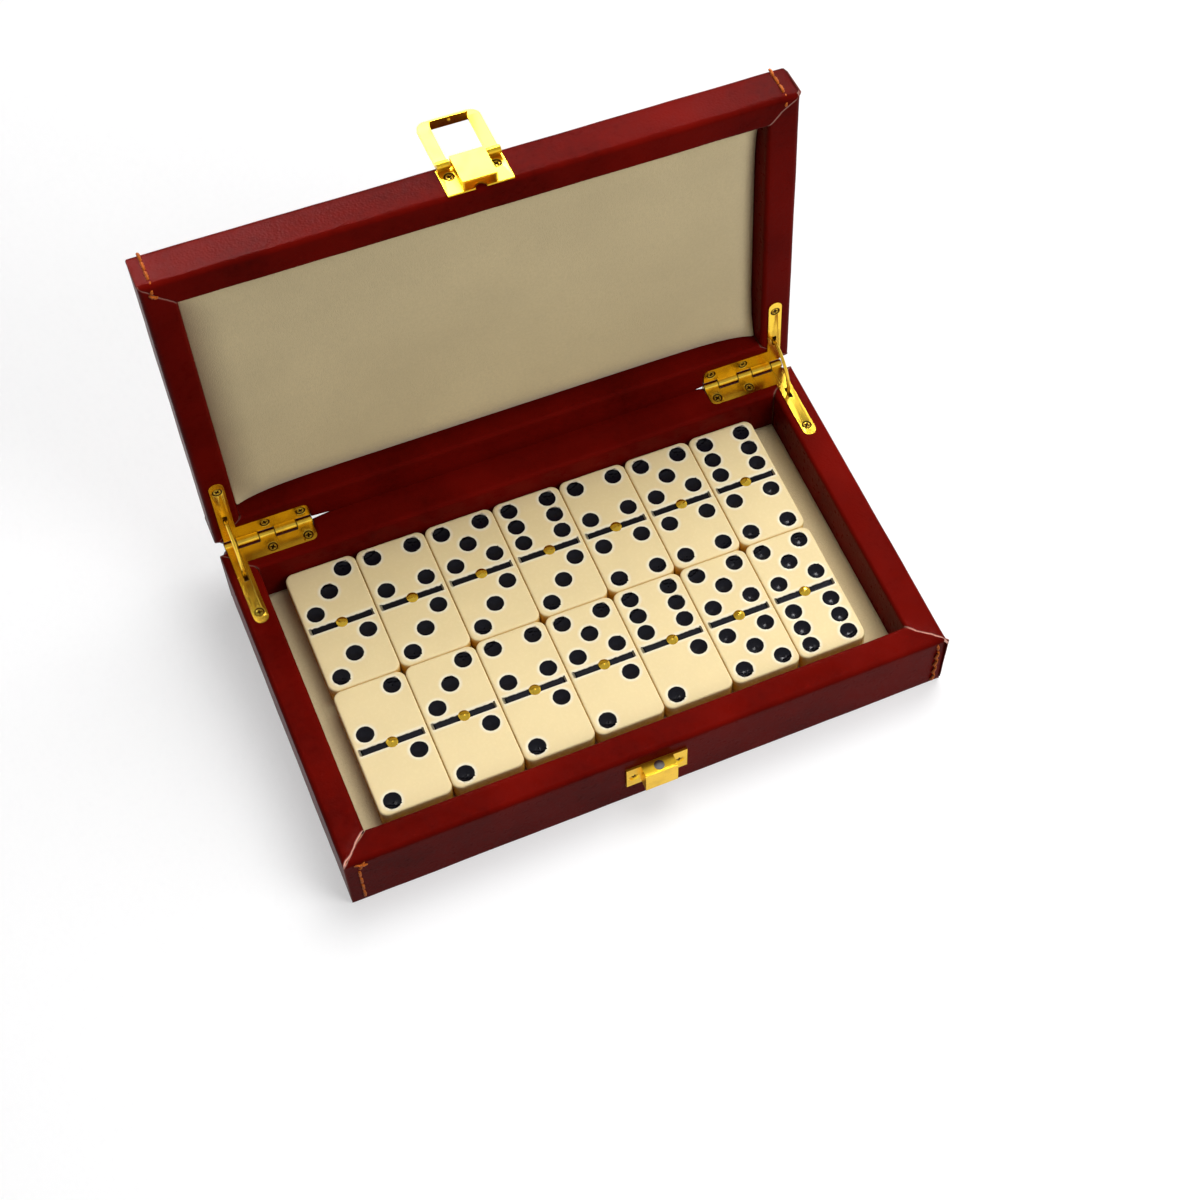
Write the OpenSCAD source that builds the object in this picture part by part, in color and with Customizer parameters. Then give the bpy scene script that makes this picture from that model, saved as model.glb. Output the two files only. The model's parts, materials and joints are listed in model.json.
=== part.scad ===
// Leather covered storage box for dominoes, lid open on two quadrant hinges,
// with one layer of tiles lying in the tray.

/* [Box] */
// Width over the leather
box_w = 204; // [194:1:260]
// Depth over the leather
box_d = 122; // [119:1:160]
// Height of the base
base_h = 26; // [24:0.5:36]
// Height of the lid
lid_h = 14; // [13.5:0.5:20]
// Gap between the two rims when the lid is shut
rim_gap = 1; // [0.9:0.1:1.2]
// Angle the lid stands open at
lid_angle = 93; // [90:0.5:96]

/* [Walls] */
// Thickness of the wooden walls
wood_t = 8; // [7:0.5:10]
// Thickness of the leather
skin_t = 1; // [0.8:0.1:1.2]
// Roundness of the outer rim edges
rim_r = 2.2; // [1.5:0.1:2.6]
// Roundness of the inner rim edges
inner_r = 1.4; // [0.8:0.1:1.6]
// Thickness of the wooden board in the bottom
bottom_t = 6; // [4:0.5:7]
// Thickness of the cover under the base
cover_t = 1; // [0.8:0.1:1.5]
// Thickness of the wooden board in the lid
panel_t = 3; // [2.5:0.5:4]

/* [Lining] */
// Thickness of the card under the tray cloth
card_t = 1.2; // [1:0.1:1.5]
// Thickness of the tray cloth
cloth_t = 0.8; // [0.6:0.1:1]
// Thickness of the card behind the lid padding
lid_card_t = 1.5; // [1:0.1:2]
// Thickness of the lid padding in its corners
pad_edge = 1.5; // [1:0.1:2]
// Extra thickness of the lid padding away from its corners
pad_swell = 2.6; // [1.5:0.1:3]

/* [Hinges] */
// Distance of the leaves from the sides
leaf_in = 2.7; // [2.2:0.1:3]
// Width of a leaf along the rear rim
leaf_w = 28.8; // [24:0.1:36]
// Depth of a leaf across the rear rim
leaf_d = 6.5; // [6:0.1:7.5]
// Width of the side arm
arm_w = 4.8; // [4.4:0.1:5.4]
// Length of the side arm from the rear
arm_len = 30.5; // [26:0.5:36]
// Thickness of the leaf sheet
leaf_t = 0.8; // [0.7:0.05:0.9]
// Depth the leaves are let into the rim
leaf_sink = 0.5; // [0.45:0.05:0.6]
// Diameter of the hinge barrel
barrel_d = 2.7; // [2.5:0.1:2.7]
// Diameter of the hinge pin
pin_d = 1; // [0.8:0.05:1.2]
// Distance of the hinge axis behind the rear face
axis_out = 1.4; // [1.4:0.05:1.6]
// Radius of the curved stay
stay_r = 12.6; // [12:0.1:13]
// Diameter of the stay rod
stay_d = 1.2; // [1:0.05:1.3]
// Diameter of the upset ends of the stay
stay_end_d = 1.9; // [1.7:0.05:2]
// Sweep of the stay
stay_span = 114; // [113:0.5:118]

/* [Latch] */
// Width of the plate on the lid
hasp_w = 20.6; // [18:0.1:24]
// Thickness of the plate on the lid
hasp_t = 0.6; // [0.5:0.05:0.7]
// Width of the raised bridge
hood_w = 10.8; // [9:0.1:11]
// Height of the raised bridge over the leather
hood_out = 4; // [3.8:0.1:4.3]
// Diameter of the pin through the bridge
hasp_pin_d = 1; // [0.8:0.05:1.1]
// Width of the swinging loop
loop_w = 20; // [19:0.1:21]
// Width of the opening in the loop
window_w = 11.8; // [11.6:0.1:12.4]
// Length from the pin to the far edge of the opening
window_len = 16.4; // [16:0.05:16.45]
// Width of the far bar of the loop
bar_w = 3.3; // [2.6:0.1:4]
// Thickness of the loop sheet
loop_t = 0.8; // [0.6:0.05:0.9]
// Depth of the lip that comes over the catch
lip_len = 2.6; // [2:0.1:2.8]
// Distance of the catch's top below the rim
catch_drop = 5.8; // [5.8:0.1:6]
// Width of the catch plate
catch_w = 20.8; // [18:0.1:24]
// Height of the catch plate
catch_h = 10.5; // [9:0.1:12]
// Width of the catch block
block_w = 11; // [9:0.1:11.2]
// Reach of the catch block from the leather
block_out = 4.9; // [4.6:0.1:4.95]
// Diameter of the steel stud
stud_d = 3.4; // [3:0.1:3.4]

/* [Screws] */
// Diameter of the screw heads
head_d = 3.5; // [3:0.1:3.8]
// Diameter of the screw shanks
shank_d = 1.8; // [1.4:0.1:2]
// Length of the screws
screw_len = 6.5; // [5:0.5:7]

/* [Tiles] */
// Width of one place in a row of tiles
tile_w = 24; // [20:0.1:24]
// Length of one place for a tile
tile_l = 48; // [40:0.1:48]
// Thickness of a tile
tile_t = 8; // [6:0.1:9]
// Gap between neighbouring tiles
tile_gap = 0.2; // [0.1:0.05:0.4]
// Shift of the rows to the left of the middle
tile_shift = 1.3; // [0:0.1:2]
// Roundness of the tile corners seen from above
tile_r = 3; // [2:0.1:4]
// Roundness of the tile edges
tile_edge = 1.2; // [0.8:0.1:1.6]
// Diameter of a pip
pip_d = 5.5; // [4.5:0.1:6]
// Depth of a pip
pip_deep = 0.8; // [0.5:0.1:1]
// Diameter of the round head of the middle pin
spin_d = 4; // [3:0.1:5]

/* [Stitching] */
// Diameter of the thread
thread_d = 0.9; // [0.7:0.05:1]
// Length of a stitch
stitch_len = 3.2; // [2.5:0.1:3.6]
// Distance of the stitch rows from the sides
stitch_in = 4; // [3.5:0.1:6]

/* [Hidden] */
$fn = 48;
eps = 0.01;
past = 5;
pad_roll = 0.7;
catch_top = base_h - catch_drop;
half_w = box_w / 2;
half_d = box_d / 2;
wall_t = wood_t + 2 * skin_t;
core_x = half_w - skin_t;
core_y = half_d - skin_t;
bay_x = core_x - wood_t;
bay_y = core_y - wood_t;
room_x = half_w - wall_t;
room_y = half_d - wall_t;
fit = 0.1;
skin_low = 0.3;
under_r = 1;
top_r = 2;
board_top = cover_t + bottom_t;
card_top = board_top + card_t;
tray_top = card_top + cloth_t;
lid_z = base_h + rim_gap;
lid_top = lid_z + lid_h;
panel_z = lid_top - skin_t - panel_t;
lid_card_z = panel_z - lid_card_t;
axis_y = half_d + axis_out;
axis_z = base_h + rim_gap / 2;
leaf_out = leaf_t - leaf_sink;
bore = 0.03;
arm_s = leaf_in + arm_w / 2;
leaf_screws = [
    [leaf_in + leaf_w * 0.49, leaf_d * 0.615],
    [leaf_in + leaf_w - 2.7, leaf_d * 0.615],
    [arm_s, arm_len - 4.3]
];
leaf_corner = 2;
slot_w = stay_d + 0.3;
slot_from = 9.2;
slot_to = 13.6;
barrel_from = leaf_in - 0.4;
barrel_len = leaf_w + 0.7;
knuckle_cuts = [0, 0.14, 0.39, 0.57, 0.82, 1];
knuckle_gap = 0.08;
notch = 0.8;
mortise_w = stay_end_d + 0.5;
stay_half = stay_span / 2;
stay_room = 0.4;
mortise_deep = stay_r * sin(stay_half) + stay_end_d / 2 + stay_room;
mortise_back = axis_out + stay_r * cos(stay_half) - axis_out * 2 - stay_end_d / 2 - stay_room;
mortise_front = stay_r - axis_out + stay_end_d / 2 + stay_room;
head_h = 0.8;
cross_w = 0.5;
cross_len = 2.2;
cross_deep = 0.5;
hasp_low = lid_z + 0.4;
hasp_high = lid_z + 11.3;
hood_low = lid_z + 0.9;
hood_high = lid_z + 12.3;
hasp_notch_r = 1.8;
hasp_screw_x = hasp_w / 2 - 3;
hasp_screw_z = lid_z + 7.7;
swing_z = lid_z + 11;
swing_out = 2.4;
curl_r = hasp_pin_d / 2 + bore + loop_t;
loop_corner = 3.2;
loop_len = window_len + bar_w;
lip_t = 0.7;
nub_r = 0.5;
catch_t = 0.8;
catch_sheet = 0.7;
block_h = 9.3;
stud_out = 2.45;
stud_h = 5.8;
stud_dome = 0.4;
catch_screw_x = catch_w / 2 - 2.7;
catch_screw_z = catch_top - 5.6;
row_x0 = -tile_shift - 3 * tile_w;
back_row_y = room_y - tile_gap - tile_l / 2;
front_row_y = back_row_y - tile_l;
pip_x = tile_w * 0.286;
pip_y = tile_l * 0.142;
pip_mid = tile_l * 0.263;
pip_ball = (pow(pip_d / 2, 2) + pow(pip_deep, 2)) / (2 * pip_deep);
groove_w = 2.4;
groove_len = tile_w * 0.85;
groove_deep = 0.5;
spin_dome = 0.9;
spin_ball = (pow(spin_d / 2, 2) + pow(spin_dome, 2)) / (2 * spin_dome);
spin_shank_r = 1;
spin_shank = 4;
halves = [
    [3, 3], [4, 3], [5, 3], [6, 3], [4, 4], [5, 4], [6, 4],
    [2, 2], [3, 2], [4, 2], [5, 2], [6, 2], [5, 5], [5, 6]
];
leather = [0.42, 0.07, 0.05];
wood = [0.72, 0.56, 0.38];
card = [0.62, 0.55, 0.42];
cloth = [0.64, 0.6, 0.47];
brass = [0.83, 0.66, 0.22];
steel = [0.6, 0.6, 0.6];
thread = [0.85, 0.45, 0.15];
ivory = [0.93, 0.86, 0.7];

// Turns what was drawn for the shut lid up to the open angle
module on_lid() {
    translate([0, axis_y, axis_z])
        rotate([-lid_angle, 0, 0])
            translate([0, -axis_y, -axis_z])
                children();
}

// Rectangle standing on its base line, lower and upper corners rounded
module soft_rect(w, h, low_r, high_r) {
    translate([-w / 2, low_r]) square([w, h - low_r - high_r]);
    translate([-w / 2 + low_r, 0]) square([w - 2 * low_r, low_r + eps]);
    translate([-w / 2 + high_r, h - high_r - eps]) square([w - 2 * high_r, high_r + eps]);
    for (s = [-1, 1]) {
        translate([s * (w / 2 - low_r), low_r]) circle(r = low_r);
        translate([s * (w / 2 - high_r), h - high_r]) circle(r = high_r);
    }
}

// Rectangle with four equal round corners
module round_rect(w, h, r) {
    square([w - 2 * r, h], center = true);
    square([w, h - 2 * r], center = true);
    for (sx = [-1, 1]) {
        for (sy = [-1, 1]) {
            translate([sx * (w / 2 - r), sy * (h / 2 - r)]) circle(r = r);
        }
    }
}

// Block with soft lower and upper edges, mitred at the corners
module soft_block(z0, z1, low_r, high_r) {
    intersection() {
        translate([0, half_d, z0])
            rotate([90, 0, 0])
                linear_extrude(box_d) soft_rect(box_w, z1 - z0, low_r, high_r);
        translate([-half_w, 0, z0])
            rotate([90, 0, 90])
                linear_extrude(box_w) soft_rect(box_d, z1 - z0, low_r, high_r);
    }
}

// Profile of the hollow inside a rim, opening out over the soft rim edge
module mouth_profile(half, h) {
    difference() {
        translate([-half - inner_r, 0]) square([2 * (half + inner_r), h + eps]);
        for (s = [-1, 1]) {
            translate([s * (half + inner_r), h - inner_r]) circle(r = inner_r);
            translate([s * (half + inner_r) - inner_r, -past])
                square([2 * inner_r, h - inner_r + past]);
        }
    }
}

// Hollow inside a rim, from its floor up to the rim plane
module mouth(h) {
    intersection() {
        translate([0, half_d, 0])
            rotate([90, 0, 0])
                linear_extrude(box_d) mouth_profile(room_x, h);
        translate([-half_w, 0, 0])
            rotate([90, 0, 90])
                linear_extrude(box_w) mouth_profile(room_y, h);
    }
}

module block(hx, hy, z0, z1) {
    translate([-hx, -hy, z0]) cube([2 * hx, 2 * hy, z1 - z0]);
}

// Four wooden walls as one ring
module ring(z0, z1) {
    difference() {
        block(core_x, core_y, z0, z1);
        block(bay_x, bay_y, z0 - past, z1 + past);
    }
}

// Outline of a hinge leaf in plan, at the right rear corner
module leaf_plan(grow) {
    far = half_w - leaf_in - leaf_w;
    near = half_w - leaf_in;
    translate([far + leaf_corner, half_d - leaf_d - grow])
        square([leaf_w - leaf_corner + grow, leaf_d + 2 * grow]);
    translate([far - grow, half_d - leaf_d + leaf_corner])
        square([leaf_corner + grow + eps, leaf_d - leaf_corner + grow]);
    translate([far + leaf_corner, half_d - leaf_d + leaf_corner])
        circle(r = leaf_corner + grow);
    translate([near - arm_w - grow, half_d - arm_len + arm_w / 2])
        square([arm_w + 2 * grow, arm_len - arm_w / 2 + grow]);
    translate([near - arm_w / 2, half_d - arm_len + arm_w / 2])
        circle(r = arm_w / 2 + grow);
}

// Room cut into a rim for one leaf, its screws and the sliding stay
module leaf_room() {
    translate([0, 0, base_h - leaf_sink]) linear_extrude(past) leaf_plan(eps);
    for (p = leaf_screws) {
        translate([half_w - p[0], half_d - p[1], base_h - screw_len - leaf_sink])
            cylinder(h = screw_len + past, d = shank_d + fit);
    }
    translate([half_w - arm_s - mortise_w / 2, half_d - mortise_front, axis_z - mortise_deep])
        cube([mortise_w, mortise_front - mortise_back, mortise_deep + past]);
}

// The same room for both hinges
module leaf_rooms() {
    leaf_room();
    mirror([1, 0, 0]) leaf_room();
}

// Mirrors what was drawn for the base rim into the lid rim
module to_lid_rim() {
    translate([0, 0, 2 * axis_z]) mirror([0, 0, 1]) children();
}

module screw_holes(x, z, depth) {
    for (s = [-1, 1]) {
        translate([s * x, -half_d - past, z])
            rotate([-90, 0, 0])
                cylinder(h = past + depth, d = shank_d + fit);
    }
}

// Conical seat for a screw head, its wide end at the origin, opening upwards
module head_seat() {
    translate([0, 0, -head_h]) cylinder(h = head_h, d1 = shank_d + fit, d2 = head_d + fit);
    translate([0, 0, -past]) cylinder(h = past, d = shank_d + fit);
    translate([0, 0, -eps]) cylinder(h = past, d = head_d + fit);
}

// Cross head screw pointing down, its head level with the origin
module screw(len) {
    difference() {
        union() {
            translate([0, 0, -head_h]) cylinder(h = head_h, d1 = shank_d, d2 = head_d);
            translate([0, 0, -len]) cylinder(h = len - head_h + eps, d = shank_d);
        }
        cube([cross_len, cross_w, 2 * cross_deep], center = true);
        cube([cross_w, cross_len, 2 * cross_deep], center = true);
    }
}

// One knuckle of the barrel with the tongue that joins it to the leaf
module knuckle(k) {
    x0 = half_w - barrel_from - barrel_len * knuckle_cuts[k + 1] + knuckle_gap / 2;
    len = barrel_len * (knuckle_cuts[k + 1] - knuckle_cuts[k]) - knuckle_gap;
    inner = max(x0, half_w - leaf_in - leaf_w);
    outer = min(x0 + len, half_w - leaf_in);
    translate([x0, axis_y, axis_z]) rotate([0, 90, 0]) cylinder(h = len, d = barrel_d);
    translate([inner, half_d - 2 * notch, base_h - leaf_sink])
        cube([outer - inner, axis_out + 2 * notch, leaf_t]);
}

// Hinge leaf on the base rim, carrying the knuckles named in its list
module leaf(knuckles, notches) {
    difference() {
        union() {
            translate([0, 0, base_h - leaf_sink]) linear_extrude(leaf_t) leaf_plan(0);
            for (k = knuckles) {
                knuckle(k);
            }
        }
        for (p = leaf_screws) {
            translate([half_w - p[0], half_d - p[1], base_h + leaf_out]) head_seat();
        }
        translate([half_w - arm_s - slot_w / 2, half_d - slot_to, base_h - past])
            cube([slot_w, slot_to - slot_from, 2 * past]);
        for (k = notches) {
            x0 = half_w - barrel_from - barrel_len * knuckle_cuts[k + 1];
            translate([x0, half_d - notch, base_h - past])
                cube([barrel_len * (knuckle_cuts[k + 1] - knuckle_cuts[k]), past, 2 * past]);
        }
        translate([half_w - barrel_from - barrel_len - past, axis_y, axis_z])
            rotate([0, 90, 0])
                cylinder(h = barrel_len + 2 * past, d = pin_d + 2 * bore);
    }
}

module base_leaf() {
    leaf([0, 2, 4], [1, 3]);
}

module lid_leaf() {
    on_lid() to_lid_rim() leaf([1, 3], [0, 2, 4]);
}

module hinge_pin() {
    translate([half_w - barrel_from - barrel_len, axis_y, axis_z])
        rotate([0, 90, 0])
            cylinder(h = barrel_len, d = pin_d);
}

// Curved rod about the hinge axis with an upset end on each side
module stay() {
    translate([half_w - arm_s, axis_y, axis_z])
        rotate([90, 0, -90])
            rotate([0, 0, lid_angle / 2 - stay_half]) {
                rotate_extrude(angle = stay_span) translate([stay_r, 0]) circle(d = stay_d);
                for (a = [0, stay_span]) {
                    rotate([0, 0, a]) translate([stay_r, 0, 0]) sphere(d = stay_end_d);
                }
            }
}

module rim_screws() {
    for (s = [-1, 1]) {
        for (p = leaf_screws) {
            translate([s * (half_w - p[0]), half_d - p[1], base_h + leaf_out])
                screw(screw_len);
        }
    }
}

module front_screws(x, z, out) {
    for (s = [-1, 1]) {
        translate([s * x, -half_d - out, z]) rotate([90, 0, 0]) screw(screw_len);
    }
}

module front_seats(x, z, out) {
    for (s = [-1, 1]) {
        translate([s * x, -half_d - out, z]) rotate([90, 0, 0]) head_seat();
    }
}

// Upright row of stitches on the front face
module stitch_row(x, z0, count, pitch) {
    for (i = [0:count - 1]) {
        translate([x, -half_d - thread_d / 2, z0 + i * pitch]) {
            cylinder(h = stitch_len - thread_d, d = thread_d);
            sphere(d = thread_d);
            translate([0, 0, stitch_len - thread_d]) sphere(d = thread_d);
        }
    }
}

// Centres of the pips of one half, counted in pip steps
function pips(n) =
    n == 2 ? [[1, 1], [-1, -1]] :
    n == 3 ? [[1, 1], [0, 0], [-1, -1]] :
    n == 4 ? [[1, 1], [-1, -1], [1, -1], [-1, 1]] :
    n == 5 ? [[1, 1], [-1, -1], [1, -1], [-1, 1], [0, 0]] :
    [[1, 1], [-1, -1], [1, -1], [-1, 1], [1, 0], [-1, 0]];

module at_tile(i) {
    row = i < 7 ? 0 : 1;
    translate([row_x0 + (i - 7 * row) * tile_w, row == 0 ? back_row_y : front_row_y, tray_top])
        children();
}

module tile(i) {
    w = tile_w - tile_gap;
    l = tile_l - tile_gap;
    at_tile(i) difference() {
        intersection() {
            linear_extrude(tile_t) round_rect(w, l, tile_r);
            translate([0, l / 2, tile_t / 2])
                rotate([90, 0, 0])
                    linear_extrude(l) round_rect(w, tile_t, tile_edge);
            translate([-w / 2, 0, tile_t / 2])
                rotate([90, 0, 90])
                    linear_extrude(w) round_rect(l, tile_t, tile_edge);
        }
        for (side = [0, 1]) {
            for (p = pips(halves[i][side])) {
                y = (side == 0 ? pip_mid : -pip_mid) + p[1] * pip_y;
                translate([p[0] * pip_x, y, tile_t - pip_deep + pip_ball]) sphere(r = pip_ball);
            }
        }
        translate([0, 0, tile_t]) cube([groove_len, groove_w, 2 * groove_deep], center = true);
        translate([0, 0, tile_t - spin_shank]) cylinder(h = spin_shank + past, r = spin_shank_r);
    }
}

module tile_pin(i) {
    at_tile(i) {
        intersection() {
            translate([0, 0, tile_t]) cylinder(h = past, d = spin_d);
            translate([0, 0, tile_t + spin_dome - spin_ball]) sphere(r = spin_ball);
        }
        translate([0, 0, tile_t - spin_shank])
            cylinder(h = spin_shank + spin_dome / 2, r = spin_shank_r);
    }
}

module base_frame() {
    color(wood) difference() {
        ring(cover_t, base_h - skin_t);
        leaf_rooms();
        screw_holes(catch_screw_x, catch_screw_z, screw_len);
    }
}

module base_bottom_board() {
    color(wood) block(bay_x - fit, bay_y - fit, cover_t, board_top);
}

module bottom_cover() {
    color(card) block(core_x - fit, core_y - fit, 0, cover_t);
}

module base_leather() {
    color(leather) difference() {
        soft_block(skin_low, base_h, under_r, rim_r);
        ring(-past, base_h - skin_t);
        block(bay_x, bay_y, -past, board_top);
        translate([0, 0, board_top]) mouth(base_h - board_top);
        leaf_rooms();
        screw_holes(catch_screw_x, catch_screw_z, skin_t);
    }
}

module tray_floor_card() {
    color(card) block(room_x - fit, room_y - fit, board_top, card_top);
}

module tray_lining() {
    color(cloth) block(room_x - fit, room_y - fit, card_top, tray_top);
}

module lid_frame() {
    color(wood) on_lid() difference() {
        ring(lid_z + skin_t, lid_top - skin_t);
        to_lid_rim() leaf_rooms();
        screw_holes(hasp_screw_x, hasp_screw_z, screw_len);
    }
}

module lid_panel() {
    color(wood) on_lid() block(bay_x - fit, bay_y - fit, panel_z, lid_top - skin_t);
}

module lid_leather() {
    color(leather) on_lid() difference() {
        soft_block(lid_z, lid_top, rim_r, top_r);
        ring(lid_z + skin_t, lid_top - skin_t);
        block(bay_x, bay_y, panel_z, lid_top - skin_t);
        translate([0, 0, panel_z]) mirror([0, 0, 1]) mouth(panel_z - lid_z);
        to_lid_rim() leaf_rooms();
        front_seats(hasp_screw_x, hasp_screw_z, hasp_t);
    }
}

module lid_lining_card() {
    color(card) on_lid() block(room_x - fit, room_y - fit, lid_card_z, panel_z);
}

// Padded cloth panel, thin in its corners and fuller everywhere else
module lid_lining_pad() {
    px = room_x - 2 * fit;
    py = room_y - 2 * fit;
    nx = 28;
    ny = 18;
    grid = [for (j = [0:ny]) for (i = [0:nx])
        let (u = 2 * i / nx - 1, v = 2 * j / ny - 1,
             rise = 1 - pow(abs(u * v), 2.4),
             crown = (1 - u * u) * (1 - v * v),
             border = max(pow(abs(u), 30), pow(abs(v), 30)))
        [px * u, py * v, pad_roll * border - pad_edge - pad_swell * (0.88 * rise + 0.12 * crown)]];
    flat = [for (j = [0:ny]) for (i = [0:nx])
        [px * (2 * i / nx - 1), py * (2 * j / ny - 1), 0]];
    total = (nx + 1) * (ny + 1);
    face = [for (j = [0:ny - 1]) for (i = [0:nx - 1])
        let (a = j * (nx + 1) + i) each [[a, a + 1, a + nx + 2], [a, a + nx + 2, a + nx + 1]]];
    back = [for (f = face) [f[2] + total, f[1] + total, f[0] + total]];
    south = [for (i = [0:nx - 1]) each [[i, total + i, i + 1], [i + 1, total + i, total + i + 1]]];
    north = [for (i = [0:nx - 1]) let (a = ny * (nx + 1) + i)
        each [[a, a + 1, total + a], [a + 1, total + a + 1, total + a]]];
    west = [for (j = [0:ny - 1]) let (a = j * (nx + 1), b = a + nx + 1)
        each [[a, b, total + a], [b, total + b, total + a]]];
    east = [for (j = [0:ny - 1]) let (a = j * (nx + 1) + nx, b = a + nx + 1)
        each [[a, total + a, b], [b, total + a, total + b]]];
    color(cloth) on_lid() translate([0, 0, lid_card_z])
        polyhedron(points = concat(grid, flat), faces = concat(face, back, south, north, west, east));
}

module left_base_leaf() {
    color(brass) mirror([1, 0, 0]) base_leaf();
}

module left_lid_leaf() {
    color(brass) mirror([1, 0, 0]) lid_leaf();
}

module left_hinge_pin() {
    color(brass) mirror([1, 0, 0]) hinge_pin();
}

module left_stay() {
    color(brass) mirror([1, 0, 0]) stay();
}

module right_base_leaf() {
    color(brass) base_leaf();
}

module right_lid_leaf() {
    color(brass) lid_leaf();
}

module right_hinge_pin() {
    color(brass) hinge_pin();
}

module right_stay() {
    color(brass) stay();
}

module base_hinge_screws() {
    color(brass) rim_screws();
}

module lid_hinge_screws() {
    color(brass) on_lid() to_lid_rim() rim_screws();
}

module catch_plate() {
    color(brass) difference() {
        union() {
            translate([-catch_w / 2, -half_d - catch_t, catch_top - catch_h])
                cube([catch_w, catch_t, catch_h]);
            translate([-block_w / 2, -half_d - block_out, catch_top - block_h])
                cube([block_w, block_out, block_h]);
        }
        translate([-block_w / 2 + catch_sheet, -half_d - block_out + catch_sheet, catch_top - block_h - past])
            cube([block_w - 2 * catch_sheet, block_out - catch_t - catch_sheet,
                block_h + past - catch_t]);
        translate([0, -half_d - stud_out, catch_top - catch_h]) cylinder(h = catch_h + past, d = stud_d);
        front_seats(catch_screw_x, catch_screw_z, catch_t);
    }
}

module catch_stud() {
    ball = (pow(stud_d / 2, 2) + pow(stud_dome, 2)) / (2 * stud_dome);
    color(steel) translate([0, -half_d - stud_out, 0]) intersection() {
        translate([0, 0, catch_top - stud_h]) cylinder(h = stud_h + past, d = stud_d);
        translate([0, 0, catch_top + stud_dome - ball]) sphere(r = ball);
    }
}

module catch_screws() {
    color(brass) front_screws(catch_screw_x, catch_screw_z, catch_t);
}

module hasp_plate() {
    color(brass) on_lid() difference() {
        union() {
            translate([-hasp_w / 2, -half_d - hasp_t, hasp_low])
                cube([hasp_w, hasp_t, hasp_high - hasp_low]);
            translate([-hood_w / 2, -half_d - hood_out, hood_low])
                cube([hood_w, hood_out, hood_high - hood_low]);
        }
        translate([-hood_w / 2 + hasp_t, -half_d - hood_out + hasp_t, hood_low - past])
            cube([hood_w - 2 * hasp_t, hood_out - 2 * hasp_t, hood_high - hood_low + 2 * past]);
        translate([-hood_w / 2 + hasp_t, -half_d - hood_out + hasp_t, hasp_high])
            cube([hood_w - 2 * hasp_t, hood_out, past]);
        translate([-hood_w, -half_d - swing_out, swing_z])
            rotate([0, 90, 0])
                cylinder(h = 2 * hood_w, d = hasp_pin_d);
        translate([0, -half_d - hasp_t - eps, hasp_low])
            rotate([-90, 0, 0])
                cylinder(h = hasp_t + 2 * eps, r = hasp_notch_r);
        front_seats(hasp_screw_x, hasp_screw_z, hasp_t);
    }
}

module hasp_screws() {
    color(brass) on_lid() front_screws(hasp_screw_x, hasp_screw_z, hasp_t);
}

module hasp_pin() {
    color(brass) on_lid() translate([-loop_w / 2, -half_d - swing_out, swing_z])
        rotate([0, 90, 0])
            cylinder(h = loop_w, d = hasp_pin_d);
}

// Sheet loop with curled near ends and a lip that comes over the catch
module hasp_loop() {
    near = curl_r - loop_t;
    color(brass) on_lid() translate([0, -half_d - swing_out, swing_z]) difference() {
        union() {
            translate([0, curl_r, 0]) rotate([90, 0, 0]) linear_extrude(loop_t) difference() {
                union() {
                    translate([-loop_w / 2, 0]) square([loop_w, loop_len - loop_corner]);
                    translate([-loop_w / 2 + loop_corner, 0])
                        square([loop_w - 2 * loop_corner, loop_len]);
                    for (s = [-1, 1]) {
                        translate([s * (loop_w / 2 - loop_corner), loop_len - loop_corner])
                            circle(r = loop_corner);
                    }
                }
                translate([-window_w / 2, -past]) square([window_w, window_len + past]);
            }
            for (s = [0, 1]) {
                mirror([s, 0, 0]) translate([window_w / 2, 0, 0])
                    rotate([0, 90, 0])
                        cylinder(h = (loop_w - window_w) / 2, r = curl_r);
            }
            translate([-window_w / 2, near - lip_len, window_len])
                cube([window_w, lip_len + eps, lip_t]);
            translate([0, near - lip_len / 2, window_len]) sphere(r = nub_r);
        }
        translate([-loop_w, 0, 0])
            rotate([0, 90, 0])
                cylinder(h = 2 * loop_w, d = hasp_pin_d + 2 * bore);
    }
}

module base_stitching() {
    color(thread) {
        stitch_row(-half_w + stitch_in + 0.7, 2.2, 4, 4.7);
        stitch_row(half_w - 1.7, 2.6, 4, 4.7);
    }
}

module lid_stitching() {
    color(thread) on_lid() {
        stitch_row(-half_w + stitch_in, lid_z + 2.6, 3, 3.6);
        stitch_row(half_w - stitch_in, lid_z + 2.6, 3, 3.6);
    }
}

module tile_1() {
    color(ivory) tile(0);
}

module tile_2() {
    color(ivory) tile(1);
}

module tile_3() {
    color(ivory) tile(2);
}

module tile_4() {
    color(ivory) tile(3);
}

module tile_5() {
    color(ivory) tile(4);
}

module tile_6() {
    color(ivory) tile(5);
}

module tile_7() {
    color(ivory) tile(6);
}

module tile_8() {
    color(ivory) tile(7);
}

module tile_9() {
    color(ivory) tile(8);
}

module tile_10() {
    color(ivory) tile(9);
}

module tile_11() {
    color(ivory) tile(10);
}

module tile_12() {
    color(ivory) tile(11);
}

module tile_13() {
    color(ivory) tile(12);
}

module tile_14() {
    color(ivory) tile(13);
}

module tile_1_pin() {
    color(brass) tile_pin(0);
}

module tile_2_pin() {
    color(brass) tile_pin(1);
}

module tile_3_pin() {
    color(brass) tile_pin(2);
}

module tile_4_pin() {
    color(brass) tile_pin(3);
}

module tile_5_pin() {
    color(brass) tile_pin(4);
}

module tile_6_pin() {
    color(brass) tile_pin(5);
}

module tile_7_pin() {
    color(brass) tile_pin(6);
}

module tile_8_pin() {
    color(brass) tile_pin(7);
}

module tile_9_pin() {
    color(brass) tile_pin(8);
}

module tile_10_pin() {
    color(brass) tile_pin(9);
}

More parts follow.
